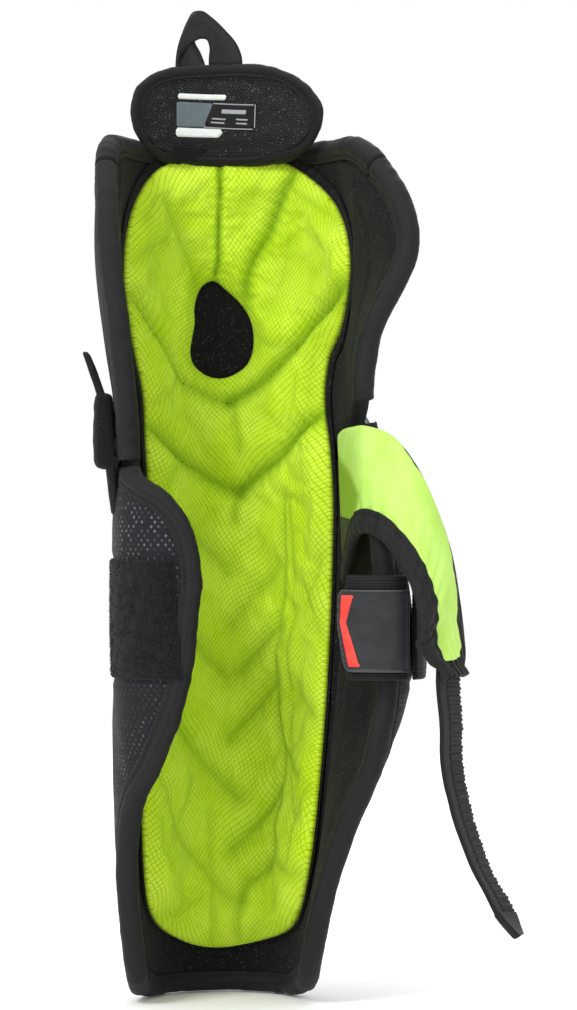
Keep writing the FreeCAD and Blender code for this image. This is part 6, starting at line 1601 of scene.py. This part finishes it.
# ======================================================================
# soft keeper outside the left knee wing, its strap and the pull tab
# ======================================================================
def brick(name, stations, mat, body, seed, nodes=(), nseg=36, power=3.2, wav=0.25):
    """Soft upright piece: (z, cx, cy, hx, hy) stations, with rounded corners and closed ends."""
    S_ = np.array(stations, float)
    zf = np.linspace(S_[0, 0], S_[-1, 0], 70)
    o = np.argsort(S_[:, 0])
    cx, cy, hx, hy = (np.interp(zf, S_[o, 0], S_[o, k]) for k in (1, 2, 3, 4))
    endk = np.clip(np.minimum(np.abs(zf - zf[0]), np.abs(zf - zf[-1])) / 2.2, 0, 1)
    rk = 0.35 + 0.65 * np.sqrt(1 - (1 - endk) ** 2)
    an = np.linspace(0, 2 * math.pi, nseg, endpoint=False)
    c_, s_ = np.cos(an), np.sin(an)
    ex = np.sign(c_) * np.abs(c_) ** (2 / power); ey = np.sign(s_) * np.abs(s_) ** (2 / power)
    V = np.zeros((70, nseg, 3))
    A2, Z2 = np.meshgrid(an * 6, zf)
    bump = wav * wob2(A2, Z2, seed, 9.0)
    V[..., 0] = cx[:, None] + ex[None] * (hx * rk)[:, None] + bump * c_[None]
    V[..., 1] = cy[:, None] + ey[None] * (hy * rk)[:, None] + bump * s_[None]
    V[..., 2] = zf[:, None]
    faces = grid_faces(70, nseg, wrap=True).tolist() + [list(range(nseg)), [69 * nseg + j for j in range(nseg - 1, -1, -1)]]
    ob = weld_flip(mesh_obj(name, V.reshape(-1, 3), faces, mat, st=np.stack([(A2 * (hy[:, None] + 3) / 6).ravel(), Z2.ravel()], 1)))
    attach(ob, body)
    if nodes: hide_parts(*nodes)
    return ob
kc = [surf(-106.0, z, 8.6) for z in (246.0, 262.0, 278.0)]
kx = lambda z: float(np.interp(z, [246, 262, 278], [c[0] for c in kc])); ky = lambda z: float(np.interp(z, [246, 262, 278], [c[1] for c in kc]))
print("keeper", [tuple(np.round(c, 1)) for c in kc])
KX = -57.0
brick("side_keeper", [(242.6, KX + 0.5, ky(250), 4.1, 8.6), (246.5, KX + 0.1, ky(250), 4.8, 9.0), (262, KX - 0.2, ky(262), 4.8, 9), (270, KX - 0.4, ky(270), 4.6, 9), (277.0, KX - 0.6, ky(277), 3.8, 8.4)], M_PILE, "knee", 201, ("side_loop_pad",))
brick("side_keeper_strap", [(222, -51.9, ky(250), 1.9, 7.4), (236, -53.0, ky(250), 2.5, 7.8), (249, -54.4, ky(250), 2.9, 8.0)], M_CLOTH2, "knee", 202, (), wav=0.1)
brick("side_pull_strip", [(272.5, -57.6, ky(275), 2.0, 7.0), (280, -60.0, ky(277), 1.8, 7.2), (288, -62.8, ky(277), 1.6, 7.2), (295.6, -65.8, ky(277), 1.5, 7.2)], M_CLOTH2, "side_tab", 203, ("side_pull_tab",), wav=0.12, power=8)

# ======================================================================
# carried-over hardware and shells
# ======================================================================
def give(mat, *names):
    for nm in names:
        o = NODES[nm]
        o.data.materials.clear(); o.data.materials.append(mat)
give(M_SHELL, "shin_shell", "knee_cup_shell")
give(M_CAP, "shin_ridge_cap")
give(M_BSTEEL, "shell_rivets", "knee_pivot_pins")
give(M_STEEL, "rivet_washers")
give(M_HOOK, "shin_hook_strips", "knee_hook_strips")
give(M_CLOTH, "flap_root", "knee_cup_pad")
for nm in ("shin_shell", "knee_cup_shell", "shin_ridge_cap"):
    NODES[nm].data.polygons.foreach_set("use_smooth", np.ones(len(NODES[nm].data.polygons), bool))

# ======================================================================
# floor, backdrop and soft light
# ======================================================================
def stage_mat():
    m = Mat("stage_pale", rough=0.9, spec=0.05)
    v = m.obj(1.0)
    f = m.noise(v, 3.0, 2)
    m.color(m.mix(f, (0.93, 0.93, 0.93), (0.96, 0.96, 0.96)))
    return m.m
stg = mesh_obj("floor", [(-2200, -2200, -0.02), (2200, -2200, -0.02), (2200, 2100, -0.02), (-2200, 2100, -0.02)], [[0, 1, 2, 3]], stage_mat())
w = bpy.data.worlds.new("studio"); SC.world = w; w.use_nodes = True
w.node_tree.nodes["Background"].inputs[0].default_value = (1.0, 1.0, 1.0, 1)
w.node_tree.nodes["Background"].inputs[1].default_value = 1.0
def area(name, loc, aim, size, power, col=(1, 1, 1)):
    d = bpy.data.lights.new(name, "AREA"); d.shape = "RECTANGLE"; d.size = size[0]; d.size_y = size[1]; d.energy = power; d.color = col
    o = bpy.data.objects.new(name, d); SC.collection.objects.link(o)
    o.location = loc
    o.rotation_euler = (Vector(aim) - Vector(loc)).to_track_quat("-Z", "Y").to_euler()
    return o
area("key", (-0.85, -1.35, 1.45), (0.0, 0.0, 0.22), (0.55, 0.55), 23)
area("fill", (0.75, -1.9, 0.45), (0.0, 0.0, 0.22), (1.0, 1.4), 6)
area("top", (0.1, 0.1, 1.8), (0.0, 0.0, 0.2), (1.2, 1.2), 6)
area("back_wash", (0.3, 1.9, 1.2), (0.0, 0.0, 0.22), (1.0, 1.0), 10)
